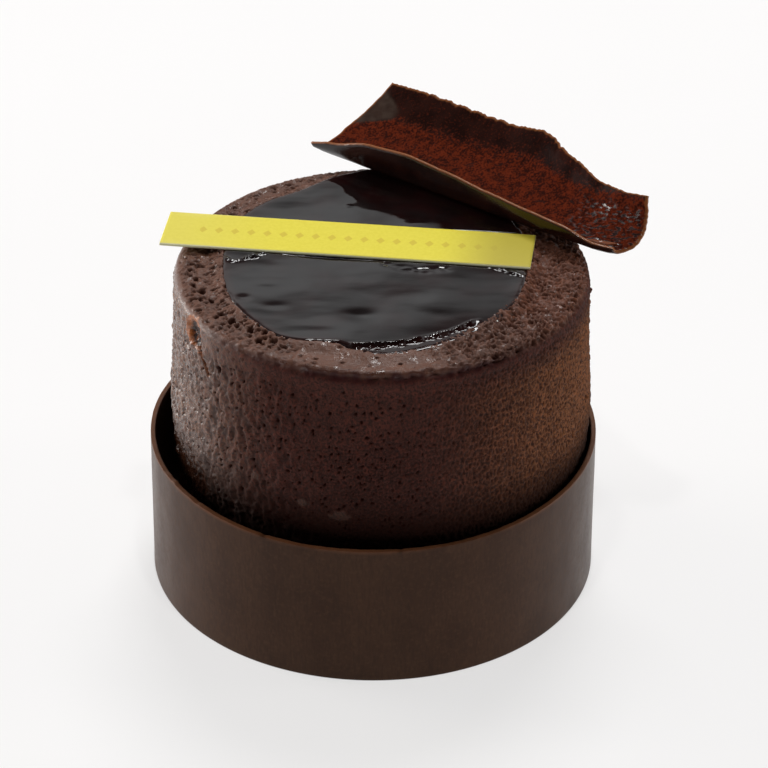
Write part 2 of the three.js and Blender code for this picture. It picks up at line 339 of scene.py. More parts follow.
class Shader:
    """The nodes of a material, or of the world, with short calls for those that it needs."""

    def __init__(self, owner, kind="BSDF_PRINCIPLED", **surface):
        owner.use_nodes = True
        self.owner = owner
        self.tree = owner.node_tree
        self.surface = next(n for n in self.tree.nodes if n.type == kind)
        self.set(**surface)

    def set(self, **surface):
        """Feeds the surface's inputs, which are named with _ for each space."""
        for label, value in surface.items():
            self.feed(self.surface.inputs[label.replace("_", " ")], value)

    def feed(self, socket, value):
        if isinstance(value, bpy.types.NodeSocket):
            self.tree.links.new(value, socket)
        elif isinstance(value, (tuple, list)) and len(value) == 3 and len(socket.default_value) == 4:
            socket.default_value = (*value, 1)
        else:
            socket.default_value = value

    def node(self, kind, out=0, settings=None, **inputs):
        made = self.tree.nodes.new("ShaderNode" + kind)
        for key, value in (settings or {}).items():
            setattr(made, key, value)
        for key, value in inputs.items():
            where = int(key[1:]) if key[0] == "i" and key[1:].isdigit() else key.replace("_", " ")
            self.feed(made.inputs[where], value)
        return made.outputs[out]

    def value(self, label):
        """A number that the mesh carries at each point."""
        return self.node("Attribute", out="Fac", settings={"attribute_name": label})

    def math(self, operation, a, b=0.0, clamp=False):
        settings = {"operation": operation, "use_clamp": clamp}
        return self.node("Math", settings=settings, i0=a, i1=b)

    def times(self, a, b):
        return self.math("MULTIPLY", a, b)

    def plus(self, a, b, clamp=False):
        return self.math("ADD", a, b, clamp)

    def less(self, a, b):
        return self.math("SUBTRACT", a, b)

    def tint(self, colour, label, amount, other):
        """A colour that goes over to the other by amount where the mesh's value is 1."""
        return self.blend(self.times(self.value(label), amount), colour, other)

    def blend(self, share, a, b):
        """Colour a, going over to colour b as share goes from 0 to 1."""
        made = self.tree.nodes.new("ShaderNodeMix")
        made.data_type = "RGBA"
        for socket, value in zip((made.inputs[0], made.inputs[6], made.inputs[7]), (share, a, b)):
            self.feed(socket, value)
        return made.outputs[2]

    def ramp(self, share, low, high, start=0.0, end=1.0):
        """A number that goes from start to end as share goes from low to high."""
        made = self.tree.nodes.new("ShaderNodeMapRange")
        made.interpolation_type = "SMOOTHSTEP"
        for key, value in zip(range(5), (share, low, high, start, end)):
            self.feed(made.inputs[key], value)
        return made.outputs[0]

    def grain(self, size, detail, stretch=(1, 1, 1)):
        """Noise from 0 to 1 whose lumps are about size millimetres across."""
        place = self.node("TexCoord", out="Object")
        scale = tuple(1 / (k * MM) for k in stretch)
        placed = self.node("Mapping", Vector=place, Scale=scale)
        return self.node("TexNoise", Vector=placed, Scale=1 / size, Detail=detail)

    def bump(self, height, depth, strength=1.0):
        """Relief of depth millimetres, for the normal of the surface."""
        return self.node("Bump", Height=height, Distance=depth * MM, Strength=strength)


# ---- the drum's form ----

SIDE_STEP = 0.19 / FINE  # spacing of the drum's points
HIDDEN_BELOW = 16.0  # the band hides the drum below this height
UNDER_GLAZE = 0.8  # how far the ring runs on under the glaze
RING_RISE = 0.8  # how far the ring swells towards the glaze, less so at the front
RING_SINK = 0.3  # how far it drops again under the glaze, but not at the front
CREASE = 1.15  # the crease under the rim is this far up the skin from the shoulder


def side_radius(z):
    """Radius of the drum's side at a height."""
    low = mix(DRUM["foot"], DRUM["waist"], ease(z / DRUM["waist_height"], 0.6, 1))
    up = np.clip((z - DRUM["waist_height"]) / (DRUM["height"] - DRUM["waist_height"]), 0, 1)
    high = mix(DRUM["top"], DRUM["waist"], (1 - up) ** 1.8)
    return np.where(z < DRUM["waist_height"], low, high)


def glaze_radius(degrees):
    """Radius of the glaze's outline."""
    return around(GLAZE["radii"], degrees)


def frontness(degrees):
    """1 at the front of the cake, down to 0 at its sides and behind."""
    return np.clip(-np.sin(np.radians(degrees)), 0, 1) ** 2


def drum_base():
    """Radius and height of the drum's smooth form, on a grid of rows by angles, with each row's kind."""
    degrees = circle(DRUM["waist"], SIDE_STEP)
    front = frontness(degrees)
    one = np.ones(len(degrees))
    rows = []

    def add(kind, radius, z):
        rows.append((kind, radius * one, z * one))

    foot, foot_round = DRUM["foot"], DRUM["foot_round"]
    add("foot", foot * 0.5, 0.0)
    for turn in np.radians(np.linspace(-90, 0, 5)):
        add("foot", foot - foot_round * (1 - np.cos(turn)), foot_round * (1 + np.sin(turn)))

    shoulder = DRUM["height"] - DRUM["rim_round"]
    steps = int((shoulder - HIDDEN_BELOW) / SIDE_STEP)
    for z in [*np.arange(2.0, HIDDEN_BELOW, 1.4), *np.linspace(HIDDEN_BELOW, shoulder, steps)]:
        add("side", side_radius(z), z)

    centre = DRUM["top"] - DRUM["rim_round"]
    square = mix(2.0, 3.4, front)  # the rim is squarer along its front
    steps = int(DRUM["rim_round"] * math.pi / 2 / SIDE_STEP * 1.15)
    for turn in np.radians(np.linspace(0, 90, steps + 1)[1:]):
        out = DRUM["rim_round"] * max(math.cos(turn), 0) ** (2 / square)
        rise = DRUM["rim_round"] * math.sin(turn) ** (2 / square)
        add("rim", centre + out, shoulder + rise)

    inner = glaze_radius(degrees) - UNDER_GLAZE
    steps = int((centre - inner).max() / SIDE_STEP * 0.85)
    for share in np.linspace(0, 1, steps + 1)[1:]:
        add("ring", mix(centre, inner, share), DRUM["height"])

    bed = DRUM["height"] - DRUM["bed"]
    add("bed", inner, bed)
    add("bed", inner * 0.5, bed)

    kinds = [kind for kind, _, _ in rows]
    radius = np.array([r for _, r, _ in rows])
    height = np.array([z for _, _, z in rows])
    at_rim = bell(height - DRUM["height"] + 1.2, 1.4)
    outside = np.array([kind in ("side", "rim") for kind in kinds])[:, None]
    radius = radius + np.where(outside & (radius > centre), DRUM["lip"] * front * at_rim, 0)
    return degrees, kinds, radius, height


class DrumSkin:
    """The drum's surface as a grid, with what is pressed into it or raised on it, in millimetres."""

    def __init__(self):
        self.degrees, self.kinds, self.radius, self.z = drum_base()
        self.points = polar(self.radius, self.degrees, self.z)
        self.normals = grid_normals(self.points)
        # distance up the skin, from the shoulder where the rim starts to round
        steps = np.linalg.norm(np.diff(self.points, axis=0), axis=-1)
        path = np.vstack([np.zeros(len(self.degrees)), np.cumsum(steps, axis=0)])
        self.first_rim = self.kinds.index("rim")
        self.first_ring = self.kinds.index("ring")
        self.first_bed = self.kinds.index("bed")
        self.path = path - path[self.first_rim]
        self.relief = np.zeros_like(self.path)
        self.dents = np.zeros_like(self.path)
        self.marks = {}
        on_skin = [kind in ("side", "rim", "ring") for kind in self.kinds]
        self.on_skin = np.array(on_skin)[:, None] * 1.0
        self.angle = np.broadcast_to(self.degrees, self.path.shape)

    def near(self, centre, full, fade):
        return near_angle(self.angle, centre, full, fade)

    def path_of_height(self, z, degrees):
        """Distance up the skin of a place on the side."""
        column = self._column(degrees)
        rows = slice(0, self.first_ring)
        return float(np.interp(z, self.z[rows, column], self.path[rows, column]))

    def path_of_radius(self, radius, degrees):
        """Distance up the skin of a place on the ring."""
        column = self._column(degrees)
        rows = slice(self.first_ring, self.first_bed)
        return float(np.interp(-radius, -self.radius[rows, column], self.path[rows, column]))

    def window(self, degrees, path, reach):
        """The part of the grid within reach of a place: its index, and how far it is across and up."""
        rows = np.flatnonzero(np.abs(self.path[:, self._column(degrees)] - path) < reach)
        rows = rows[rows < self.first_bed]
        turn = turned_from(self.degrees, degrees)
        columns = np.flatnonzero(np.abs(turn) < math.degrees(reach / self.radius[rows].mean()))
        index = np.ix_(rows, columns)
        across = np.radians(turn[columns])[None, :] * self.radius[index]
        return index, across, self.path[index] - path

    def _column(self, degrees):
        return int(np.argmin(np.abs(turned_from(self.degrees, degrees))))

    def press(self, degrees, path, wide, high, deep, ragged, seed, lean=0.0):
        """Presses an oval hollow of half sizes wide and high; lean turns it, in degrees."""
        index, across, up = self.window(degrees, path, 1.7 * max(wide, high))
        x, y = turned(across, up, lean)
        far = np.hypot(x / wide, y / high) + ragged * noise(self.points[index], 0.55, seed)
        hollow = fall(far, 0.45, 1.1)
        self.dents[index] = np.maximum(self.dents[index], deep * hollow)
        self._mark("pit", index, fall(far, 0.75, 1.15))

    def slit(self, top, end, wide, deep, ragged, seed):
        """Cuts a slit between two places, each an angle and a height; its half width tapers."""
        path, end_path = self.path_of_height(top[1], top[0]), self.path_of_height(end[1], end[0])
        dx, dy = math.radians(end[0] - top[0]) * DRUM["waist"], end_path - path
        index, x, y = self.window(top[0], path, 1.3 * math.hypot(dx, dy))
        share = np.clip((x * dx + y * dy) / (dx * dx + dy * dy), 0, 1)
        half = mix(wide[0], wide[1], ease(share, 0.0, 0.62))
        far = np.hypot(x - share * dx, y - share * dy) / half
        far = far + ragged * noise(self.points[index], 0.8, seed)
        hollow = mix(deep[0], deep[1], share) * fall(far, 0.5, 1.1)
        self.dents[index] = np.maximum(self.dents[index], hollow)
        self._mark("tear", index, fall(far, 1.0, 1.2))
        self._mark("tear_rim", index, ease(far, 0.72, 0.88) * fall(far, 1.05, 1.2))

    def _mark(self, mark, index, amount):
        field = self.marks.setdefault(mark, np.zeros_like(self.path))
        field[index] = np.maximum(field[index], amount)

    def raise_lump(self, degrees, path, wide, high, tall):
        """Raises an oval dome of half sizes wide and high."""
        index, across, up = self.window(degrees, path, 1.4 * max(wide, high))
        dome = np.clip(1 - (across / wide) ** 2 - (up / high) ** 2, 0, 1) ** 0.6
        self.relief[index] += tall * dome

    def final(self):
        """The points with their relief, about the drum's own axis."""
        moved = self.points + self.normals * ((self.relief - self.dents) * self.on_skin)[..., None]
        moved[..., 0] += DRUM["offset"]
        return moved


# ---- the drum's skin ----

LEFT = (-172, 44, 84)  # centre of the wrinkled side, then where it is full and where it ends
SHINY = (-180, 14, 64)  # the same for where the skin is moist and shines, its colour lightened as painted sheen
RIGHT = (-12, 46, 84)  # the same for the side with a matte, upright grain
PAINTED_SIDE_LIGHT = (0, 22, 82)  # the same for where that grain is painted a lighter orange brown, as painted light from the right

# large bubbles of the ring: degrees, radius, half width round it and half length across it
RING_BUBBLES = [
    (-147.7, 25.9, 0.55, 0.50), (-141.9, 25.7, 0.75, 0.62), (-138.9, 25.9, 0.40, 0.40),
    (-133.7, 25.5, 0.55, 0.50), (-128.7, 25.1, 0.48, 0.55), (-128.4, 26.5, 0.60, 0.45),
    (-147.0, 27.3, 0.40, 0.38), (-156.4, 25.5, 0.58, 0.40), (-162.7, 25.9, 0.85, 0.50),
    (-158.2, 26.9, 0.58, 0.34), (-170.3, 26.1, 0.65, 0.40), (-167.5, 27.0, 0.40, 0.40),
    (-173.0, 27.5, 0.36, 0.28), (-176.1, 27.7, 0.40, 0.34), (-179.6, 26.8, 0.48, 0.46),
    (-109.0, 26.8, 0.32, 0.22), (-101.0, 27.2, 0.30, 0.18), (-84.5, 27.2, 0.30, 0.20),
    (-124.0, 27.3, 0.26, 0.22),
]

# the torn slit: the angle and height of its two places, then its half width and depth at each
TEAR = {
    "top": (-151.6, 45.6),
    "end": (-144.4, 40.9),
    "wide": (2.3, 0.4),
    "deep": (0.9, 0.4),
    "ragged": 0.2,
    "seed": 81,
}
CRATER_AT = (-139.0, 42.9)  # its angle and height
CRATER = {"wide": 0.55, "high": 0.62, "deep": 0.6, "ragged": 0.3, "seed": 83, "lean": 20}
# smooth patches of the side: degrees, height, half width and half height
SMOOTH_PATCHES = [(-100.6, 25.8, 1.5, 0.9), (-110.8, 27.1, 1.1, 0.6), (-125.3, 29.1, 0.8, 0.7)]
# crumbs stuck to the side: degrees, height, half width, half height and thickness
CRUMBS = [
    (-13.5, 31.0, 0.38, 0.38, 0.5), (-166.0, 21.9, 0.8, 0.9, 0.35), (-171.0, 20.3, 0.6, 0.7, 0.3),
    (-4.0, 45.6, 0.5, 0.4, 0.3), (-2.0, 43.2, 0.4, 0.5, 0.26), (-3.0, 40.4, 0.5, 0.6, 0.24),
    (-1.0, 37.5, 0.4, 0.4, 0.28), (-4.0, 34.6, 0.5, 0.6, 0.24), (1.0, 41.8, 0.4, 0.4, 0.3),
]


def skin_cells(skin, wide, high, shear, seed, warp, ragged=0.0):
    """Random cells over the skin, about wide by high, that lean by shear and wander by warp."""
    round_u = int(round(2 * math.pi * DRUM["waist"] / wide))
    shift = warp * noise(skin.points, 2.6 * wide, seed + 1)
    lift = warp * noise(skin.points, 2.6 * wide, seed + 2)
    if ragged:
        shift = shift + ragged * noise(skin.points, 0.5, seed + 3)
        lift = lift + ragged * noise(skin.points, 0.5, seed + 4)
    v = skin.path / high + lift
    u = skin.angle / 360 * round_u + shear * skin.path / wide + shift
    return cells(u, v, round_u, seed)


def web(skin, wide, high, shear, seed, warp, open_at=0.42):
    """Hollows from 0 to 1 between a net of ridges, whose meshes are about wide by high."""
    nearest, second, _ = skin_cells(skin, wide, high, shear, seed, warp)
    return ease(second - nearest, 0.02, open_at)


def opened(nearest, chance, share, small, large):
    """Open bubbles from 0 to 1 in a share of the cells, most of them small."""
    size = np.where(chance < share, mix(small, large, (chance / share) ** 2), 1e-6)
    return np.where(chance < share, fall(nearest / size, 0.6, 1.1), 0)


def bubbles(skin, wide, high, seed, share, small, large, ragged=0.12):
    """Open bubbles from 0 to 1, in a share of patches about wide by high."""
    nearest, _, chance = skin_cells(skin, wide, high, 0.0, seed, 0.3, ragged)
    return opened(nearest, chance, share, small, large)


def drawn_bubbles(skin, long, wide, seed, share, small=0.16, large=0.42, ragged=0.16):
    """Open bubbles on the ring, drawn out along X as if a knife had smoothed them."""
    p = skin.points
    u = p[..., 0] / long + 0.35 * noise(p, 3.0, seed + 1) + ragged * noise(p, 0.5, seed + 3)
    v = p[..., 1] / wide + 0.35 * noise(p, 3.0, seed + 2) + ragged * noise(p, 0.5, seed + 4)
    nearest, _, chance = cells(u, v, 10000, seed)
    return opened(nearest, chance, share, small, large)


def shape_sides(skin):
    """The slow unevenness, the left side's wrinkles and the right side's upright grain."""
    p = skin.points
    left = skin.near(*LEFT)
    right = skin.near(*RIGHT)
    middle = np.clip(1 - left - right, 0, 1)
    side = fall(skin.path, -0.6, 1.2)
    below_rim = fall(skin.path, -3.6, -0.6)
    low = fall(skin.z, 33, 43)

    patches = np.zeros_like(skin.path)
    for degrees, z, wide, high in SMOOTH_PATCHES:
        index, across, up = skin.window(degrees, skin.path_of_height(z, degrees), 2 * wide)
        far = np.hypot(across / wide, up / high) + 0.5 * noise(p[index], 0.8, 41)
        patches[index] = np.maximum(patches[index], fall(far, 0.8, 1.05))
    rough = 1 - patches

    skin.relief += 0.09 * noise(p, 9, 1) + 0.06 * noise(p, 3.6, 2)

    wrinkles = web(skin, 1.5, 2.4, -0.3, 11, 0.55, 0.55)
    small_wrinkles = web(skin, 0.8, 1.2, -0.2, 14, 0.4)
    patchy = np.clip(0.75 + 0.7 * noise(p, 3.0, 15), 0.2, 1.3)
    wrinkled = left * mix(below_rim, side, 0.35 + 0.65 * skin.near(-178, 14, 40))
    slanted = np.stack([p[..., 0], p[..., 1] - 0.35 * p[..., 2], p[..., 2]], -1)
    drip = noise(slanted, (1.05, 1.05, 2.8), 16) + 0.35 * noise(slanted, (0.55, 0.55, 1.3), 17)
    skin.relief += wrinkled * (0.24 * drip - 0.16 * wrinkles * patchy - 0.10 * small_wrinkles)
    between = np.maximum(ease(-drip, 0.0, 0.5), 0.4 * wrinkles)

    upright = web(skin, 0.62, 1.05, 0.05, 21, 0.5, 0.5)
    fuzz = noise(p, (0.42, 0.42, 0.8), 22)
    grained = right * side
    skin.relief += grained * (0.14 * fuzz - 0.2 * upright + 0.07 * noise(p, (0.9, 0.9, 2.2), 23))

    mottle = web(skin, 0.5, 0.55, 0.0, 31, 0.5, 0.5)
    mottled = middle * side * mix(0.2, 1.0, low) * rough * below_rim
    skin.relief += mottled * (0.12 * noise(p, 0.42, 32) - 0.2 * mottle)
    skin.relief += 0.02 * noise(p, 0.5, 33) * side

    # pinholes, most of them left of the middle
    holes = skin.near(-128, 38, 66) * rough * below_rim
    pin = bubbles(skin, 1.25, 1.35, 35, 0.62, 0.10, 0.20) * holes
    rare = bubbles(skin, 1.7, 1.8, 37, 0.22, 0.08, 0.15) * side * (1 - right)
    pin = np.maximum(pin, rare)
    skin.relief -= 0.34 * pin

    # painted shade: the valleys of the wrinkles, the upright grain and the mottle are coloured darker
    painted_valley_shades = wrinkled * between + grained * upright * 0.85 + mottled * mottle * 0.8
    skin.marks["painted_valley_shade"] = np.clip(painted_valley_shades, 0, 1)
    skin.marks["patch"] = patches
    skin.marks["pin"] = pin


def ring_lift(degrees, radius):
    """How far the ring swells where the glaze meets it."""
    outline = glaze_radius(degrees)
    room = np.clip((DRUM["top"] - DRUM["rim_round"] - outline) / 2.0, 0, 1)
    room = room * mix(1, 0.55, near_angle(degrees, -78, 22, 30))
    return RING_RISE * room * fall(radius - outline, 0, 2.4)


def shape_ring(skin):
    """Open bubbles round the ring, and the finer, worm-like pitting at its right."""
    p = skin.points
    ring = mix(ease(skin.path, 1.5, 2.6), ease(skin.path, 0.2, 1.8), skin.near(0, 62, 80))
    on_top = np.array([kind == "ring" for kind in skin.kinds])[:, None]
    front = skin.near(-92, 16, 34)
    right = skin.near(0, 58, 84)
    rest = np.clip(1 - front - right, 0, 1)
    skin.relief += np.where(on_top, ring_lift(skin.angle, skin.radius), 0)
    under = fall(skin.radius - glaze_radius(skin.angle), -0.2, 0.1)
    under = under * (1 - skin.near(-76, 34, 46))
    skin.relief -= np.where(on_top, RING_SINK * under, 0)
    skin.relief += ring * (0.07 * noise(p, 1.6, 53) + 0.03 * noise(p, 0.6, 54))
    skin.relief += ring * (0.02 + 0.05 * front) * noise(p, 0.42, 59)

    worm = web(skin, 1.15, 0.85, 0.0, 50, 1.1, 0.34)
    deep = np.clip(0.75 + 0.9 * noise(p, 1.5, 52), 0.1, 1.2)
    crumbs = 0.2 * (1 - 2 * np.abs(noise(p, 1.1, 56))) + 0.14 * (1 - 2 * np.abs(noise(p, 0.55, 58)))
    skin.relief += ring * np.clip(right + 0.35 * rest, 0, 1) * (crumbs - 0.5 * worm * deep)
    open_top = ring * np.clip(rest + 0.8 * right, 0, 1)
    large = drawn_bubbles(skin, 1.9, 1.15, 55, 0.5) * ring * rest
    small = drawn_bubbles(skin, 1.15, 0.65, 57, 0.72) * open_top
    few = bubbles(skin, 2.6, 1.6, 61, 0.6, 0.08, 0.18) * ring * front
    skin.relief -= 0.6 * large + 0.34 * small + 0.4 * few
    hollow = np.maximum(np.maximum(0.85 * large, 0.65 * small), 0.7 * few)
    skin.marks["worm"] = np.maximum(hollow, 0.7 * worm * deep * np.clip(right + 0.3 * rest, 0, 1) * ring)

    for k, (degrees, radius, wide, high) in enumerate(RING_BUBBLES):
        path = skin.path_of_radius(radius, degrees)
        skin.press(degrees, path, wide, high, deep=0.8, ragged=0.32, seed=60 + k)


def crease_rim(skin):
    """The soft crease under the front of the rim, with painted shade along it, and the lip above it."""
    front = skin.near(-92, 34, 62)
    wander = 0.3 * noise(skin.points, 4.0, 71) + 0.26 * noise(skin.points, 1.2, 72)
    below = skin.path - CREASE + wander
    groove = bell(below, 0.36)
    groove = groove * np.clip(0.75 + 0.9 * noise(skin.points, 1.0, 74), 0.15, 1.4)
    lip = bell(below - 0.9, 0.5)
    sharp = mix(0.55, 1.0, skin.near(-82, 16, 34))
    patchy = np.clip(0.95 + 1.3 * noise(skin.points, 1.3, 75), 0.1, 1.4)
    crumbly = 0.2 * noise(skin.points, 0.9, 73) * bell(below - 0.8, 0.9)
    skin.relief += front * (0.20 * lip - 0.5 * groove * sharp + crumbly)
    # painted shade along the crease, a dark red brown in the colour
    shade = bell(below, 0.8)
    skin.marks["painted_crease_shade"] = np.clip(front * shade * sharp * patchy, 0, 1)


def tear_shoulder(skin):
    """The torn slit at the left shoulder, and a small crater."""
    skin.slit(**TEAR)
    degrees, height = CRATER_AT
    skin.press(degrees, skin.path_of_height(height, degrees), **CRATER)


def make_drum():
    skin = DrumSkin()
    shape_sides(skin)
    shape_ring(skin)
    crease_rim(skin)
    tear_shoulder(skin)
    for degrees, z, wide, high, tall in CRUMBS:
        skin.raise_lump(degrees, skin.path_of_height(z, degrees), wide, high, tall)

    ring = ease(skin.path, 0.6, 1.8)
    hollow = np.maximum(np.maximum(0.85 * skin.marks["pit"], skin.marks["worm"]), skin.marks["pin"])
    values = {
        # hollows of the pits, bubbles and pinholes, darkened inside as painted shade
        "pit": hollow,
        # valleys of the relief, darkened as painted shade
        "painted_valley_shade": skin.marks["painted_valley_shade"],
        # the torn slit, dark inside as painted shade
        "tear": skin.marks["tear"],
        # the crease under the rim, darkened as painted shade
        "painted_crease_shade": skin.marks["painted_crease_shade"],
        # the right side, painted a lighter orange brown as painted light
        "warm": skin.near(*PAINTED_SIDE_LIGHT) * fall(skin.path, -5.0, 0.6),
        # moist, glossy skin, whose colour also carries a lighter painted sheen
        "gloss_and_painted_sheen": np.maximum(skin.near(*SHINY), 0.3 * skin.marks["patch"]) * (1 - ring),
        "ring": ring,
        # the skin low down near the band, darkened as painted shade
        "low": fall(skin.z, 22.0, 32.0),
        "rim": skin.marks["tear_rim"],
        "coarse": skin.near(8, 34, 64) * ring,
    }
    foot = (DRUM["offset"], 0, 0)
    bed = (DRUM["offset"], 0, DRUM["height"] - DRUM["bed"])
    points, faces = capped(skin.final(), foot, bed)
    add_piece("mousse_skin", points, faces, values, "mousse_drum", mousse_material())


def mousse_material():
    s = Shader(bpy.data.materials.new("chocolate_mousse"))
    brown, dark, warm = (0.074, 0.023, 0.016), (0.018, 0.005, 0.003), (0.270, 0.104, 0.042)
    # inside is the painted shade colour for the insides of pits and the slit
    pale, torn, inside = (0.126, 0.050, 0.028), (0.340, 0.100, 0.022), (0.022, 0.005, 0.003)
    slow = s.grain(3.2, 3.0)
    fine = s.grain(0.35, 2.0)
    crumb = s.grain(0.32, 1.0, (1, 1, 1.5))

    # painted light: the right side is painted a lighter orange brown
    side = s.blend(s.value("warm"), brown, warm)
    # painted sheen: where the skin shines it is painted a lighter warm brown
    side = s.tint(side, "gloss_and_painted_sheen", 0.85, (0.260, 0.112, 0.050))
    side = s.blend(s.ramp(fine, 0.32, 0.62, 0.85, 0.0), side, dark)
    # crumb flecks, lighter on the side with painted light
    fleck = s.blend(s.value("warm"), (0.125, 0.030, 0.018), (0.360, 0.124, 0.046))
    side = s.blend(s.times(s.ramp(crumb, 0.5, 0.66), 0.6), side, fleck)
    # painted shade: the side goes nearly black low down, near the band
    side = s.tint(side, "low", 0.94, (0.006, 0.002, 0.001))
    top = s.blend(s.value("coarse"), pale, (0.160, 0.059, 0.033))
    colour = s.blend(s.value("ring"), side, top)
    colour = s.blend(s.ramp(slow, 0.3, 0.7, 0.0, 0.25), colour, dark)
    # painted shade in the valleys, less dark where the skin shines
    painted_valley_shade = s.blend(s.value("gloss_and_painted_sheen"), (0.018, 0.004, 0.002), (0.052, 0.018, 0.009))
    colour = s.tint(colour, "painted_valley_shade", 0.72, painted_valley_shade)
    # painted shade along the crease under the rim
    colour = s.blend(s.value("painted_crease_shade"), colour, (0.034, 0.004, 0.003))
    # painted shade: pits, bubbles and pinholes go dark inside
    colour = s.blend(s.value("pit"), colour, inside)
    # painted shade inside the slit, with an orange brown ragged rim and strands
    strand = s.grain(0.34, 1.0, (1, 1, 4))
    rag = s.math("MAXIMUM", s.value("rim"), s.ramp(strand, 0.54, 0.62, 0.0, 0.6))
    colour = s.blend(s.value("tear"), colour, s.blend(rag, inside, torn))
    s.set(Base_Color=colour)

    rough = s.ramp(s.value("gloss_and_painted_sheen"), 0, 1, 0.78, 0.18)
    rough = s.less(rough, s.times(s.value("ring"), 0.30))
    rough = s.less(rough, s.times(s.value("coarse"), 0.1))
    rough = s.plus(rough, s.ramp(fine, 0.3, 0.7, -0.06, 0.08))
    wet = s.times(s.ramp(s.grain(1.2, 3.0), 0.57, 0.64), s.value("ring"))
    rough = s.less(rough, s.times(wet, 0.26))
    rough = s.plus(rough, s.times(s.value("pit"), 0.3), clamp=True)
    s.set(Roughness=rough)
    level = s.ramp(s.value("ring"), 0, 1, 0.17, 0.30)
    level = s.less(level, s.times(s.value("coarse"), 0.14))
    level = s.plus(level, s.times(wet, 0.25))
    level = s.plus(level, s.times(s.value("gloss_and_painted_sheen"), 0.5))
    level = s.times(level, s.ramp(s.value("low"), 0, 1, 1.0, 0.4))
    level = s.times(level, s.ramp(s.value("pit"), 0, 1, 1.0, 0.2))
    s.set(Specular_IOR_Level=level)
    relief = s.plus(s.grain(0.22, 2.0), s.times(s.grain(0.7, 1.0), 0.6))
    s.set(Normal=s.bump(relief, 0.09, 0.8))
    return s.owner


# ---- chocolate band ----

BAND_STEP = 0.35 / FINE  # spacing of points round the band
# chips and lumps of the rim: degrees, half width and height
RIM_MARKS = [
    (-118.0, 0.5, -0.16), (-83.0, 0.35, -0.12), (-140.0, 0.4, -0.08), (64.0, 0.5, -0.12),
    (148.0, 0.4, -0.1), (-151.0, 0.55, 0.18), (-169.0, 0.7, 0.08),
]
# flecks near the foot: degrees, height, half size and thickness
FOOT_FLECKS = [(-87.0, 2.6, 0.35, 0.05), (-92.0, 1.4, 0.25, 0.04), (-169.0, 1.0, 1.1, 0.12)]


def arc_from(degrees, place):
    """Distance round the band from a place, in millimetres."""
    return turned_from(degrees, place) / 180 * math.pi * BAND["radius"]


def make_band():
    degrees = circle(BAND["radius"], BAND_STEP)
    columns = len(degrees)
    turn = np.radians(degrees)
    wall, soft, height = BAND["wall"], BAND["rim_round"], BAND["height"]

    # the wall's section goes up the outside, over the rim, down the inside and under the foot
    top, inside = height - soft, soft - wall
    section = [(0.0, z) for z in np.linspace(soft, top, int(height / 0.5))]
    section += corner(-soft, top, soft, [25, 50, 75])
    section += [(-mix(soft, wall - soft, share), height) for share in (0.25, 0.5, 0.75)]
    section += corner(inside, top, soft, [105, 130, 155])
    section += [(-wall, z) for z in np.linspace(top, soft, int(height / 0.9))]
    section += corner(inside, soft, soft, [205, 245])
    section += corner(-soft, soft, soft, [295, 335])

    off, z = (np.array(part)[:, None] for part in zip(*section))
    high = z / height
    foot = BAND["radius"] + BAND["flare"]
    outward = 0.06 * high * np.sin(3 * turn + 0.4)
    radius = mix(foot, BAND["radius"], high) + outward + off
    rim = ease(high, 0.95, 1.0)
    wave = 0.08 * np.sin(2 * turn + 1.1) + 0.05 * np.sin(7 * turn)
    z = z + wave * rim + 0 * radius
    points = polar(radius, degrees, z)
    normals = grid_normals(points)

    relief = 0.035 * noise(points, (7, 7, 9), 101) + 0.012 * noise(points, 1.8, 102)
    ragged = 0.05 * noise(points, 1.3, 103) + 0.03 * noise(points, 0.5, 104)
    for place, wide, tall in RIM_MARKS:
        ragged = ragged + tall * bell(arc_from(degrees, place), wide)
    for place, level, size, tall in FOOT_FLECKS:
        spot = bell(arc_from(degrees, place), size) * bell(points[..., 2] - level, size)
        relief = relief + tall * spot * (off > -0.1)
    at_foot = ease(points[..., 2], 0.1, 0.8)
    points = points + normals * (relief * at_foot)[..., None]
    points[..., 2] += ragged * rim
    points[..., 2] = np.maximum(points[..., 2], 0)

    values = {
        # the inner face, darkened as painted shade in the gap round the cake
        "inner": (off < -wall * 0.9) * np.ones(columns),
        # the top edge, lightened as a painted highlight
        "edge": ease(points[..., 2], height - 0.22, height - 0.06),
    }
    faces = grid_faces(len(section), columns, wrap_rows=True)
    add_piece("band_skin", points, faces, values, "chocolate_band", band_material())


def band_material():
    s = Shader(bpy.data.materials.new("band_chocolate"), Specular_IOR_Level=0.13)
    slow = s.grain(6.0, 3.0, (1, 1, 1.6))
    fine = s.grain(0.6, 3.0)
    colour = s.blend(s.ramp(slow, 0.35, 0.68), (0.056, 0.023, 0.010), (0.044, 0.017, 0.007))
    colour = s.blend(s.ramp(fine, 0.45, 0.75, 0, 0.4), colour, (0.080, 0.036, 0.016))
    streak = s.grain(0.35, 1.0, (1, 1, 4))
    colour = s.blend(s.ramp(streak, 0.4, 0.7, 0, 0.35), colour, (0.030, 0.012, 0.005))
    # painted highlight along the top edge
    colour = s.tint(colour, "edge", 0.8, (0.130, 0.050, 0.022))
    # painted shade on the inner face, in the gap round the cake
    colour = s.tint(colour, "inner", 0.6, (0.012, 0.006, 0.005))
    s.set(Base_Color=colour)
    rough = s.plus(s.ramp(slow, 0.3, 0.7, 0.31, 0.38), s.ramp(fine, 0.4, 0.7, 0, 0.05))
    s.set(Roughness=rough)
    s.set(Normal=s.bump(s.grain(0.9, 3.0), 0.02, 0.5))
    return s.owner


# ---- cherry glaze ----

GLAZE_STEP = 0.24 / FINE  # spacing of the coarser rows
GLAZE_TURN = 0.16 / FINE  # spacing round the outline
SHORE = 0.5  # width over which the skin falls to the ring
RIM_ZONE = 4.4  # the finer rows of the mesh cover this much inside the outline
CORE = 19.0  # and the coarser rows about this much inside them
ROUND = 24.0  # about the outline's radius, for what is spaced along it

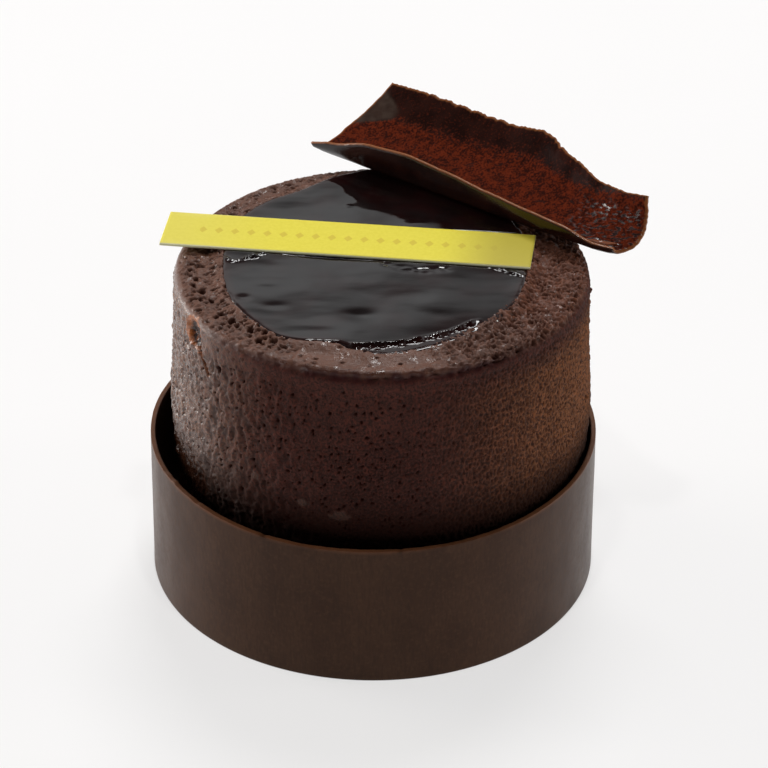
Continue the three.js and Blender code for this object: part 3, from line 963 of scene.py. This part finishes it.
# along the front the pool ends in a step at these radii, with a thin film beyond it
SILL = {
    "degrees": [-106, -103, -97, -90, -83, -76, -68, -60, -53, -50],
    "radius": [24.6, 24.1, 23.3, 22.9, 22.5, 21.9, 21.5, 21.3, 21.1, 21.4],
    "film": 0.02,
    "width": 0.5,
}
# raised threads in front of the label, as lines of points
THREADS = [
    [(-20.9, 0.5), (-20.2, -0.6), (-19.2, -0.9), (-17.3, 0.0), (-15.6, 1.1), (-14.3, 2.2)],
    [(15.4, -1.7), (16.5, -2.5), (17.9, -3.0), (19.2, -3.9), (20.7, -4.7)],
]
# the drops along the threads and the step: half width and height before they vary, and spacing
BEAD = {"radius": 0.46, "height": 0.17, "pitch": 0.66}
# a shallow, uneven scar in front of the label, as a line of points
SCAR = [(1.6, -1.3), (3.0, -2.2), (4.4, -3.0), (6.2, -3.5), (8.0, -3.2), (9.9, -2.9)]
# shallow dimples: centre, half sizes and depth, which is negative for a swelling
DIMPLES = [
    ((-1.8, -15.4), (3.3, 2.0), 0.20),
    ((-17.9, -10.7), (1.2, 1.0), 0.12),
    ((-7.2, -18.0), (3.2, 1.4), -0.04),
    ((-15.0, -7.0), (2.4, 1.2), -0.05),
    ((-13.5, -13.0), (2.2, 1.0), 0.05),
    ((8.0, -12.0), (5.0, 2.4), -0.06),
    ((-0.3, 20.3), (0.6, 0.5), -0.08),
    ((-3.6, 14.9), (0.6, 0.4), -0.06),
]
# the patch under the shard's belly: its middle along the shard and across it, and its half sizes
BELLY = {"s": -2.0, "across": 1.6, "long": 15.0, "wide": 0.8}


def glaze_skin(x, y):
    """Height of the glaze over a point, with the waves that it set with."""
    u = x - DRUM["offset"]
    slow = np.sin(0.33 * u + 0.21 * y + 0.8) + np.sin(0.19 * u - 0.41 * y)
    place = np.stack([x, y, np.zeros_like(x)], -1)
    ripple = 0.05 * noise(place, (8.0, 4.2, 1), 201) + 0.018 * noise(place, (3.4, 1.9, 1), 202)
    z = GLAZE["level"] + GLAZE["wave"] * 0.5 * slow + ripple
    for (cx, cy), (wide, deep), drop in DIMPLES:
        far = np.hypot((x - cx) / wide, (y - cy) / deep)
        z = z - drop * np.exp(-1.6 * far ** 2)
    broken = np.clip(0.5 + 1.4 * noise(place, 0.7, 205), 0, 1.2)
    for line in THREADS:
        z = z + 0.11 * broken * bell(line_gap(x, y, line), 0.3)
    torn = bell(line_gap(x, y, SCAR), 0.75)
    z = z + torn * (0.08 * noise(place, (1.2, 0.8, 1), 204) - 0.08)
    return z + 0.018 * (y + 8) * ease(x, 1, 12)


def bead_spots(line, pitch, seed):
    """Places of small beads strung along a line, not quite evenly."""
    rng = np.random.default_rng(seed)
    line = np.array(line)
    run = length_along(line)
    places = np.arange(0.2, run[-1], pitch)
    places = places + rng.uniform(-0.4, 0.4, len(places)) * pitch
    size = BEAD["radius"] * rng.uniform(0.45, 1.3, len(places))
    aside = rng.uniform(-0.22, 0.22, len(places))
    x, y = (np.interp(places, run, line[:, k]) for k in (0, 1))
    return zip(x, y + aside, size)


def string_beads(x, y, z, lines):
    """The glaze's surface with drops along some lines."""
    for k, line in enumerate(lines):
        for bx, by, size in bead_spots(line, BEAD["pitch"], 220 + k):
            far = np.hypot(x - bx, y - by) / size
            z = z + BEAD["height"] * size / BEAD["radius"] * np.sqrt(np.clip(1 - far ** 2, 0, 1))
    return z


def label_gap(x, y):
    """Distance outside the label's outline, seen from above."""
    u, v = turned(x - LABEL["centre"][0], y - LABEL["centre"][1], LABEL["turn"])
    past_end = np.maximum(np.abs(u) - LABEL["length"] / 2, 0)
    past_side = np.maximum(np.abs(v) - LABEL["width"] / 2, 0)
    return np.hypot(past_end, past_side)


def shard_gap(x, y):
    """Distance outside the patch where the shard's belly rests."""
    s, across = shard_place(x, y)
    past_end = np.maximum(np.abs(s - BELLY["s"]) - BELLY["long"], 0)
    return np.hypot(past_end, np.maximum(np.abs(across - BELLY["across"]) - BELLY["wide"], 0))


def on_drum(radius, degrees):
    """X and Y of places about the drum's axis."""
    turn = np.radians(degrees)
    return radius * np.cos(turn) + DRUM["offset"], radius * np.sin(turn)


def make_glaze():
    degrees = circle(ROUND, GLAZE_TURN)
    rim = polar(ROUND, degrees, 0 * degrees)
    smooth_outline = glaze_radius(degrees)
    outline = smooth_outline + 0.16 * noise(rim, 2.4, 211) + 0.07 * noise(rim, 0.9, 212)

    # rows go in from just outside the outline, close together at first
    near = np.arange(-0.3, RIM_ZONE, 0.1 / FINE)[:, None]
    far = np.linspace(0, 1, int(CORE / GLAZE_STEP))[1:-1, None]
    radius = np.vstack([outline - near, (outline - RIM_ZONE) * (1 - far)])
    gap = outline - radius
    x, y = on_drum(radius, degrees)
    place = np.stack([x, y, 0 * x], -1)

    shore = DRUM["height"] + ring_lift(degrees, smooth_outline) - 0.04
    rise = 1 - (1 - np.clip(gap / SHORE, 0, 1)) ** 2.2
    z = mix(shore, glaze_skin(x, y), rise) + np.where(gap < 0, 1.6 * gap, 0)

    fade = ease(degrees, SILL["degrees"][0], SILL["degrees"][1] + 3)
    fade = fade * fall(degrees, SILL["degrees"][-2] - 2, SILL["degrees"][-1] + 1)
    brink = np.interp(degrees, SILL["degrees"], SILL["radius"])
    past = radius - brink + 0.14 * noise(place, 1.5, 213)
    drop = ease(past, -SILL["width"] / 2, SILL["width"] / 2)
    film = np.minimum(z, shore + SILL["film"] + 0.08 * np.clip(gap / 0.6, 0, 1))
    crest = 0.13 + 0.08 * noise(place, 0.8, 214)
    z = mix(z, film, fade * drop) + fade * crest * bell(past + 0.2, 0.32)
    brink_radius = np.array(SILL["radius"][1:-1]) + 0.05
    brink_line = list(zip(*on_drum(brink_radius, SILL["degrees"][1:-1])))
    z = string_beads(x, y, z, [brink_line, *THREADS])

    # the skin climbs to whatever lies on it
    inside = ease(gap, 0.2, 1.2)
    cling = fall(label_gap(x, y), 0, 0.2)
    z = mix(z, REST - SUNK + 0.02, cling * inside)
    cling = fall(shard_gap(x, y), 0, 1.1) ** 1.5
    z = mix(z, REST + 0.04, cling * inside)

    under = np.array([outline * 0.5, outline + 0.2])
    ux, uy = on_drum(under, degrees)
    low = np.stack([ux, uy, np.full_like(ux, GLAZE["floor"])], -1)
    points = np.vstack([low, np.stack([x, y, z], -1)])
    tips = [(DRUM["offset"], 0, height) for height in (GLAZE["floor"], float(z[-1].mean()))]
    points, faces = capped(points, *tips)
    thin = np.maximum(fall(gap, 0.2, 1.4), fade * drop)
    values = {"thin": np.vstack([np.zeros_like(ux), thin])}
    add_piece("glaze_skin", points, faces, values, "cherry_glaze", glaze_material())


def glaze_material():
    s = Shader(bpy.data.materials.new("cherry_jelly"), Specular_IOR_Level=0.5)
    cloud = s.grain(5.0, 2.0)
    colour = s.blend(s.ramp(cloud, 0.4, 0.7), (0.005, 0.002, 0.002), (0.009, 0.002, 0.002))
    colour = s.tint(colour, "thin", 0.4, (0.030, 0.008, 0.006))
    s.set(Base_Color=colour)
    s.set(Roughness=s.ramp(s.grain(3.0, 3.0), 0.3, 0.7, 0.035, 0.10))
    s.set(Normal=s.bump(s.grain(1.6, 2.0, (2, 1, 1)), 0.02, 0.4))
    return s.owner


# ---- label strip ----

LABEL_STEP = 0.35 / FINE  # spacing of its points
# the lozenges' spacing and half sizes, and how far from the middle the row runs
PRINT = {"pitch": 2.3, "wide": 0.62, "high": 0.85, "reach": 21.0}


def make_label():
    length, width, thick = (LABEL[k] for k in ("length", "width", "thickness"))
    soft, bevel = LABEL["edge_round"], LABEL["bevel"]
    # the section goes round the strip: up its front edge, back over the top, down and forward again
    low, high = width / 2 - soft, width / 2 - bevel
    top = thick - bevel
    across = corner(-low, soft, soft, [270, 225, 180])
    across += corner(-high, top, bevel, [180, 150, 120, 90])
    shares = np.linspace(0, 1, int(width / LABEL_STEP))[1:-1]
    across += [(mix(-high, high, share), thick) for share in shares]
    across += corner(high, top, bevel, [90, 60, 30, 0])
    across += corner(low, soft, soft, [0, -45, -90])
    across += [(mix(low, -low, share), 0.0) for share in np.linspace(0, 1, 12)[1:-1]]
    across = np.array(across)

    inner = np.linspace(-length / 2 + soft, length / 2 - soft, int(length / LABEL_STEP))
    stations = [(-length / 2, 0.55), (-length / 2 + soft * 0.35, 0.85)]
    stations += [(u, 1.0) for u in inner]
    stations += [(length / 2 - soft * 0.35, 0.85), (length / 2, 0.55)]
    rows = []
    for u, full in stations:
        v = across[:, 0] * (1 - (1 - full) * soft / width)
        h = thick / 2 + (across[:, 1] - thick / 2) * full
        rows.append(np.stack([np.full_like(v, u), v, h], -1))
    points = np.array(rows)
    crown = 1 - (points[..., 1] / width * 2) ** 2
    bow = 0.03 * np.sin(points[..., 0] / length * math.pi * 1.6 + 0.4) + 0.02 * crown
    points[..., 2] += bow + 0.01 * noise(points, (6, 3, 1), 301)
    sheet = points.copy()

    turn = math.radians(LABEL["turn"])
    x, y = points[..., 0].copy(), points[..., 1].copy()
    points[..., 0] = LABEL["centre"][0] + x * math.cos(turn) - y * math.sin(turn)
    points[..., 1] = LABEL["centre"][1] + x * math.sin(turn) + y * math.cos(turn)
    points[..., 2] += REST - SUNK
    points, faces = capped(points, points[0].mean(0), points[-1].mean(0), inward=True)
    tips = [[-length / 2, 0, 0], [length / 2, 0, 0]]
    values = {"sheet": np.vstack([sheet.reshape(-1, 3), tips])}
    add_piece("label_card", points, faces, values, "label_strip", label_material())


def label_material():
    s = Shader(bpy.data.materials.new("yellow_card"), Roughness=0.42, Specular_IOR_Level=0.2)
    sheet = s.node("Attribute", out="Vector", settings={"attribute_name": "sheet"})
    split = s.node("SeparateXYZ", Vector=sheet)
    u, v, h = (split.node.outputs[k] for k in range(3))
    fibre = s.grain(0.5, 3.0)
    colour = s.blend(s.ramp(fibre, 0.3, 0.7), (0.735, 0.635, 0.046), (0.770, 0.670, 0.060))
    colour = s.blend(s.ramp(u, -26.0, -8.0, 0.35, 0.0), colour, (0.700, 0.610, 0.150))

    # a row of small lozenges printed tone on tone
    step = s.math("FRACT", s.plus(s.math("DIVIDE", u, PRINT["pitch"]), 0.5))
    side = s.math("ABSOLUTE", s.less(step, 0.5))
    side = s.times(side, PRINT["pitch"] / PRINT["wide"])
    tall = s.math("DIVIDE", s.math("ABSOLUTE", v), PRINT["high"])
    lozenge = s.ramp(s.plus(side, tall), 1.12, 0.88, 0.0, 1.0)
    within = s.ramp(s.math("ABSOLUTE", u), PRINT["reach"], PRINT["reach"] + 0.2, 1.0, 0.0)
    top = s.ramp(h, 0.3, 0.38)
    printed = s.times(s.times(lozenge, within), top)
    colour = s.blend(s.times(printed, 0.55), colour, (0.560, 0.390, 0.028))
    # darker olive towards the right end: partly painted shadow of the shard, partly darker print
    colour = s.blend(s.ramp(u, 12.0, 23.0, 0.0, 0.85), colour, (0.420, 0.345, 0.036))
    # painted highlight: the sides and underside are a pale cream
    colour = s.blend(s.ramp(h, 0.385, 0.30, 0.0, 0.9), colour, (0.900, 0.880, 0.600))
    s.set(Base_Color=colour)
    s.set(Normal=s.bump(fibre, 0.012, 0.4))
    return s.owner


# ---- chocolate shard ----

SHARD_STEP = 0.2 / FINE  # spacing of its points
SHARD_LONG = 54.0  # about its greatest length, for what is spaced along it
# the flake on the lip: its place along and across, its half sizes, its thickness and its turn
FLAKE = {"s": 23.6, "across": 0.20, "long": 2.5, "wide": 0.75, "tall": 0.3, "turn": 8}


def station_at(s):
    """The section's lean, lip, reach, back and rise at each s."""
    table = np.array(SHARD["stations"], float)
    i = np.clip(np.searchsorted(table[:, 0], s, side="right") - 1, 0, len(table) - 2)
    f = (s - table[i, 0]) / (table[i + 1, 0] - table[i, 0])
    share = (f + f * f * (3 - 2 * f)) / 2
    return [mix(table[i, k], table[i + 1, k], share) for k in range(1, 6)]


def section_table():
    """Middle lines of the sheet for evenly spaced s, each resampled evenly by its length."""
    places = np.linspace(-28, 30, 291)
    lean, lip, reach, back, rise = station_at(places)
    low = SHARD["thickness"] / 2 + rise
    lip = np.maximum(lip, low + 0.1)
    knots = np.stack(
        [
            np.stack([-lean, lip], -1),
            np.stack([-lean * 0.75, mix(low, lip, 0.42)], -1),
            np.stack([0.5 + 0 * low, low], -1),
            np.stack([reach * 0.3, mix(low, back, 0.08)], -1),
            np.stack([reach * 0.66, mix(low, back, 0.4)], -1),
            np.stack([reach, back], -1),
        ],
        1,
    )
    t = np.linspace(0, 1, 201) * 5
    i = np.minimum(t.astype(int), 4)
    a, b, c, d = (knots[:, np.clip(i + k, 0, 5)] for k in (-1, 0, 1, 2))
    line = cubic(a, b, c, d, (t - i)[None, :, None])
    shares = np.linspace(0, 1, 161)
    even = np.empty((len(places), len(shares), 2))
    lengths = np.empty(len(places))
    for k, section in enumerate(line):
        run = length_along(section)
        lengths[k] = run[-1]
        for axis in (0, 1):
            even[k, :, axis] = np.interp(shares * run[-1], run, section[:, axis])
    return places, shares, even, lengths


def on_sheet(table, s, across):
    """Points of the sheet's middle, as (s, t, h), by bilinear lookup, running on past its edges."""
    places, shares, even, _ = table
    fs = (s - places[0]) / (places[1] - places[0])
    fa = across / (shares[1] - shares[0])
    i = np.clip(np.floor(fs).astype(int), 0, len(places) - 2)
    j = np.clip(np.floor(fa).astype(int), 0, len(shares) - 2)
    x, y = (fs - i)[..., None], (fa - j)[..., None]
    low = mix(even[i, j], even[i, j + 1], y)
    high = mix(even[i + 1, j], even[i + 1, j + 1], y)
    return np.concatenate([s[..., None], mix(low, high, x)], -1)


def shard_axes():
    """The shard's start, the way it runs and the way it opens, seen from above."""
    heading = math.radians(SHARD["heading"])
    run = np.array([math.cos(heading), math.sin(heading)])
    opens = np.array([-run[1], run[0]])
    return np.array([DRUM["offset"], 0]) + SHARD["behind"] * opens, run, opens


def shard_place(x, y):
    """Where a point lies along the shard and across it."""
    start = shard_axes()[0]
    return turned(x - start[0], y - start[1], SHARD["heading"])


def make_shard():
    table = section_table()
    width = float(table[3].mean())
    long = int(SHARD_LONG / SHARD_STEP)
    wide = int(width / SHARD_STEP)
    x = np.linspace(0, 1, long)[:, None] * np.ones(wide)
    v = np.linspace(0, 1, wide)[None, :] * np.ones((long, 1))

    # the cut edges wander a little: the back edge is ragged, the front lip nearly straight
    run = np.stack([x * SHARD_LONG, 0 * x, 0 * x], -1)
    side = np.stack([0 * v, v * width, 0 * v], -1)
    back = 0.014 * noise(run, 1.5, 401) + 0.010 * noise(run, 0.6, 402) + 0.006 * noise(run, 4, 403)
    lip = 0.003 * noise(run, 1.1, 404)
    across = mix(lip, 1 + back, v)
    left = along(SHARD["left_end"], v) + 0.10 * noise(side, 1.4, 405)
    right = along(SHARD["right_end"], v) + 0.16 * noise(side, 1.2, 406)
    s = mix(left, right, x)
    middle = on_sheet(table, s, across)
    normals = np.cross(np.gradient(middle, axis=0), np.gradient(middle, axis=1))
    normals /= np.linalg.norm(normals, axis=-1, keepdims=True)

    # distance from the nearest edge in millimetres, and the sheet's half thickness there
    from_lip = v * width
    from_back = (1 - v) * width
    from_end = np.minimum(x, 1 - x) * SHARD_LONG
    edge = np.minimum(np.minimum(from_lip, from_back), from_end)
    half = mix(SHARD["edge_thickness"], SHARD["thickness"], np.clip(edge / 1.4, 0, 1)) / 2
    soft = 0.10
    rounding = np.sqrt(np.clip(1 - (1 - np.clip(edge / soft, 0, 1)) ** 2, 0, 1))
    half = half * mix(0.65, 1, rounding)

    # cocoa dust covers the trough up to a ragged line short of the back edge
    flat_place = np.stack([s, across * width, 0 * s], -1)
    limit = along([0.66, 0.69, 0.72, 0.74, 0.75, 0.77, 0.82, 0.92, 0.95], (s + 26) / SHARD_LONG)
    limit = limit + 0.035 * noise(flat_place, 2.2, 411) + 0.02 * noise(flat_place, 0.7, 412)
    dust = mix(1, 0.22, ease(across, limit - 0.09, limit + 0.09))
    bare = ease(s, 14, 20) * ease(noise(flat_place, (1.0, 0.6, 1), 413), 0.05, 0.3)
    bare = bare * fall(np.abs(across - 0.45), 0.28, 0.42)
    reach = 4.6 * ease(across, 0.52, 0.74) * fall(across, 0.76, 0.98) + 0.5
    # a wedge near the left end, kept free of dust and painted grey as a painted reflection of the sky
    painted_reflection_wedge = ease(across, 0.5, 0.6) * fall(s + 24.4 - reach, -0.7, 0.7)
    speck = ease(noise(flat_place, 1.3, 414) + 0.4 * noise(flat_place, 0.6, 415), 0.46, 0.6)
    dust = np.clip(dust * (1 - 0.95 * bare) * (1 - 0.9 * painted_reflection_wedge) * (1 - 0.5 * speck), 0, 1)
    granules = 0.055 * noise(flat_place, 0.55, 416) + 0.05 * noise(flat_place, 0.32, 417)
    clumps = 0.06 * noise(flat_place, 1.5, 418)
    keep_edge = ease(edge, 0.05, 0.5)
    inner_relief = dust * (granules + clumps) * keep_edge + 0.02 * noise(flat_place, 2.5, 419)
    inner_relief += (1 - dust) * bare * 0.12 * noise(flat_place, 0.9, 420)

    from_flake = (across - FLAKE["across"]) * width
    along_flake, over_flake = turned(s - FLAKE["s"], from_flake, FLAKE["turn"])
    oval = (along_flake / FLAKE["long"]) ** 2 + (over_flake / FLAKE["wide"]) ** 2
    flake = fall(oval + 0.25 * noise(flat_place, 0.8, 421), 0.75, 1.0)
    inner_relief += flake * FLAKE["tall"] * (0.75 + 0.25 * along_flake / FLAKE["long"])

    outer_relief = 0.02 * noise(flat_place, 3.0, 431)
    inside = middle + normals * (half + inner_relief)[..., None]
    outside = middle - normals * (half + outer_relief)[..., None]

    start, run_way, open_way = shard_axes()

    def placed(local):
        xy = start + local[..., 0:1] * run_way + local[..., 1:2] * open_way
        return np.concatenate([xy, local[..., 2:3] + REST], -1)

    count = long * wide
    r, c = np.meshgrid(np.arange(long - 1), np.arange(wide - 1), indexing="ij")
    quad = np.stack(
        [r * wide + c, (r + 1) * wide + c, (r + 1) * wide + c + 1, r * wide + c + 1], -1
    ).reshape(-1, 4)
    faces = quad.tolist() + (quad[:, ::-1] + count).tolist()
    border = list(range(wide)) + [k * wide + wide - 1 for k in range(1, long)]
    border += [(long - 1) * wide + k for k in range(wide - 2, -1, -1)]
    border += [k * wide for k in range(long - 2, 0, -1)]
    faces += [(a, b, b + count, a + count) for a, b in zip(border, border[1:] + border[:1])]

    flat = np.vstack([placed(inside).reshape(-1, 3), placed(outside).reshape(-1, 3)])
    # painted light: a lighter orange rim along the thin cut edges, for light through them
    rim_width = mix(0.15, 0.42, ease(from_lip, 0.5, 2.0))
    rim = fall((edge + 0.1 * noise(flat_place, 0.8, 432)) / rim_width, 0.15, 1.0)
    values = {
        "dust": np.maximum(dust * (1 - flake), 0),
        "flake": flake,
        "edge": np.array([rim, rim]),
        "outer": np.repeat([0, 1], count),
        "bare": bare,
        "painted_reflection_wedge": painted_reflection_wedge,
    }
    add_piece("shard_sheet", flat, faces, values, "chocolate_shard", shard_material())


def shard_material():
    s = Shader(bpy.data.materials.new("shard_chocolate"))
    fine = s.grain(0.32, 2.0)
    slow = s.grain(2.6, 3.0)
    bare = s.blend(s.ramp(slow, 0.35, 0.65), (0.010, 0.002, 0.001), (0.020, 0.005, 0.003))
    blotch = s.plus(s.times(fine, 0.6), s.times(s.grain(1.1, 2.0), 0.4))
    powder = s.blend(s.ramp(blotch, 0.38, 0.62), (0.022, 0.003, 0.001), (0.108, 0.014, 0.003))
    spread = s.plus(s.value("dust"), s.times(s.less(fine, 0.5), 1.1))
    dusted = s.ramp(spread, 0.2, 0.75)
    colour = s.blend(dusted, bare, powder)
    # painted reflection of the sky on the wedge
    painted_reflection_wedge = s.times(s.value("painted_reflection_wedge"), s.ramp(s.grain(1.6, 3.0), 0.3, 0.7, 0.9, 0.45))
    colour = s.blend(painted_reflection_wedge, colour, (0.056, 0.037, 0.028))
    colour = s.blend(s.value("flake"), colour, (0.170, 0.055, 0.025))
    # painted light along the thin cut edges
    colour = s.tint(colour, "edge", 0.9, (0.240, 0.082, 0.026))
    s.set(Base_Color=colour)
    smooth = s.math("MAXIMUM", s.value("outer"), s.value("bare"))
    rough = s.less(s.ramp(dusted, 0, 1, 0.40, 0.8), s.times(smooth, 0.22))
    s.set(Roughness=rough)
    s.set(Specular_IOR_Level=s.ramp(smooth, 0, 1, 0.04, 0.5))
    s.set(Normal=s.bump(s.grain(0.18, 2.0), 0.03, 0.5))
    return s.owner


# ---- floor, light and camera ----

FLOOR_GLOW = 0.62  # the floor is a lit white sheet, dark where the cake stands


def make_floor():
    size = 3000.0
    corners = np.array([[-size, -size, 0], [size, -size, 0], [size, size, 0], [-size, size, 0]])
    mesh = bpy.data.meshes.new("floor")
    mesh.from_pydata((corners * MM).tolist(), [], [(0, 1, 2, 3)])
    floor = bpy.data.objects.new("floor", mesh)
    bpy.context.scene.collection.objects.link(floor)
    s = Shader(bpy.data.materials.new("pale_floor"), Roughness=0.7, Specular_IOR_Level=0.1)
    cloud = s.grain(60.0, 2.0)
    place = s.node("TexCoord", out="Object")
    far = s.node("VectorMath", out="Value", settings={"operation": "LENGTH"}, i0=place)
    rim = BAND["radius"] * MM
    s.set(Emission_Strength=s.ramp(far, rim * 0.985, rim * 1.01, 0.0, FLOOR_GLOW))
    s.set(Base_Color=s.blend(cloud, (0.315, 0.31, 0.31), (0.33, 0.325, 0.325)))
    s.set(Emission_Color=(1.0, 0.992, 0.988))
    mesh.materials.append(s.owner)


def area_light(name, place, size, radiance, colour):
    """A round lamp of a given radiance and size, aimed at the cake."""
    data = bpy.data.lights.new(name, "AREA")
    data.shape = "DISK"
    data.size = size * MM
    data.energy = radiance * math.pi * (math.pi * (size * MM / 2) ** 2)
    data.color = colour
    lamp = bpy.data.objects.new(name, data)
    bpy.context.scene.collection.objects.link(lamp)
    lamp.location = Vector(place) * MM
    lamp.rotation_euler = (Vector(AIM) - Vector(place)).to_track_quat("-Z", "Y").to_euler()


def on_dome(azimuth, elevation, distance):
    """The place at these angles and this distance from the middle of the floor."""
    a, e = math.radians(azimuth), math.radians(elevation)
    flat = distance * math.cos(e)
    return (flat * math.cos(a), flat * math.sin(a), distance * math.sin(e))


# what the sky's strength is multiplied by along an axis of the direction: from and to, then the
# factors there
SWEEP = [
    ("Z", (0.50, 0.64, 1.0, 0.16)),
    ("Y", (-0.45, 0.25, 0.10, 1.0)),
    ("X", (-0.35, -0.85, 1.0, 2.1)),
    ("X", (-0.03, 0.045, 1.0, 0.62)),
    ("X", (0.14, 0.42, 1.0, 1.6)),
]
# each lamp's azimuth, elevation and distance, its size, its radiance and its colour
LAMPS = [
    ("overhead", (81, 60, 1017), 380, 15.4, (1, 1, 1)),
    ("right_fill", (4, 9, 900), 260, 11.5, (1.0, 0.96, 0.90)),
    ("left_fill", (156, 10, 900), 460, 11.0, (1.0, 0.95, 0.90)),
    ("glint", (-115, 76, 800), 44, 150.0, (1, 1, 1)),
    ("glint", (-60, 78, 800), 44, 150.0, (1, 1, 1)),
]
AIM = (0, 0, 30)  # the place that every lamp is aimed at


def make_light():
    """A sky that is bright behind and beside the cake, a large lamp, two fills and two small lamps."""
    world = bpy.data.worlds.new("studio")
    bpy.context.scene.world = world
    s = Shader(world, "BACKGROUND", Color=(0.97, 0.99, 1.0))
    place = s.node("TexCoord", out="Generated")
    axes = s.node("SeparateXYZ", Vector=place).node.outputs
    strength = s.ramp(axes["Z"], 0.20, 0.50, 0.40, 0.80)
    for axis, fade in SWEEP:
        strength = s.times(strength, s.ramp(axes[axis], *fade))
    s.set(Strength=strength)
    for name, angles, size, radiance, colour in LAMPS:
        area_light(name, on_dome(*angles), size, radiance, colour)


def make_camera():
    c = CAMERA
    lens = c["pixels_per_radian"] / c["image"] * c["sensor"]
    tilt, roll = math.radians(c["elevation"]), math.radians(c["roll"])
    back = Vector((0, -math.cos(tilt), math.sin(tilt)))
    level = Vector((1, 0, 0))
    rise = level.cross(-back)
    right = level * math.cos(roll) + rise * math.sin(roll)
    up = rise * math.cos(roll) - level * math.sin(roll)
    place = (Vector(c["target"]) + back * c["distance"]) * MM
    data = bpy.data.cameras.new("camera")
    data.lens = lens
    data.sensor_width = c["sensor"]
    data.clip_start = 0.01
    camera = bpy.data.objects.new("camera", data)
    bpy.context.scene.collection.objects.link(camera)
    axes = Matrix((right, up, back)).transposed()
    camera.matrix_world = Matrix.Translation(place) @ axes.to_4x4()
    bpy.context.scene.camera = camera


make_drum()
make_band()
make_glaze()
make_label()
make_shard()
make_floor()
make_light()
make_camera()
bpy.context.scene.view_settings.view_transform = "Standard"
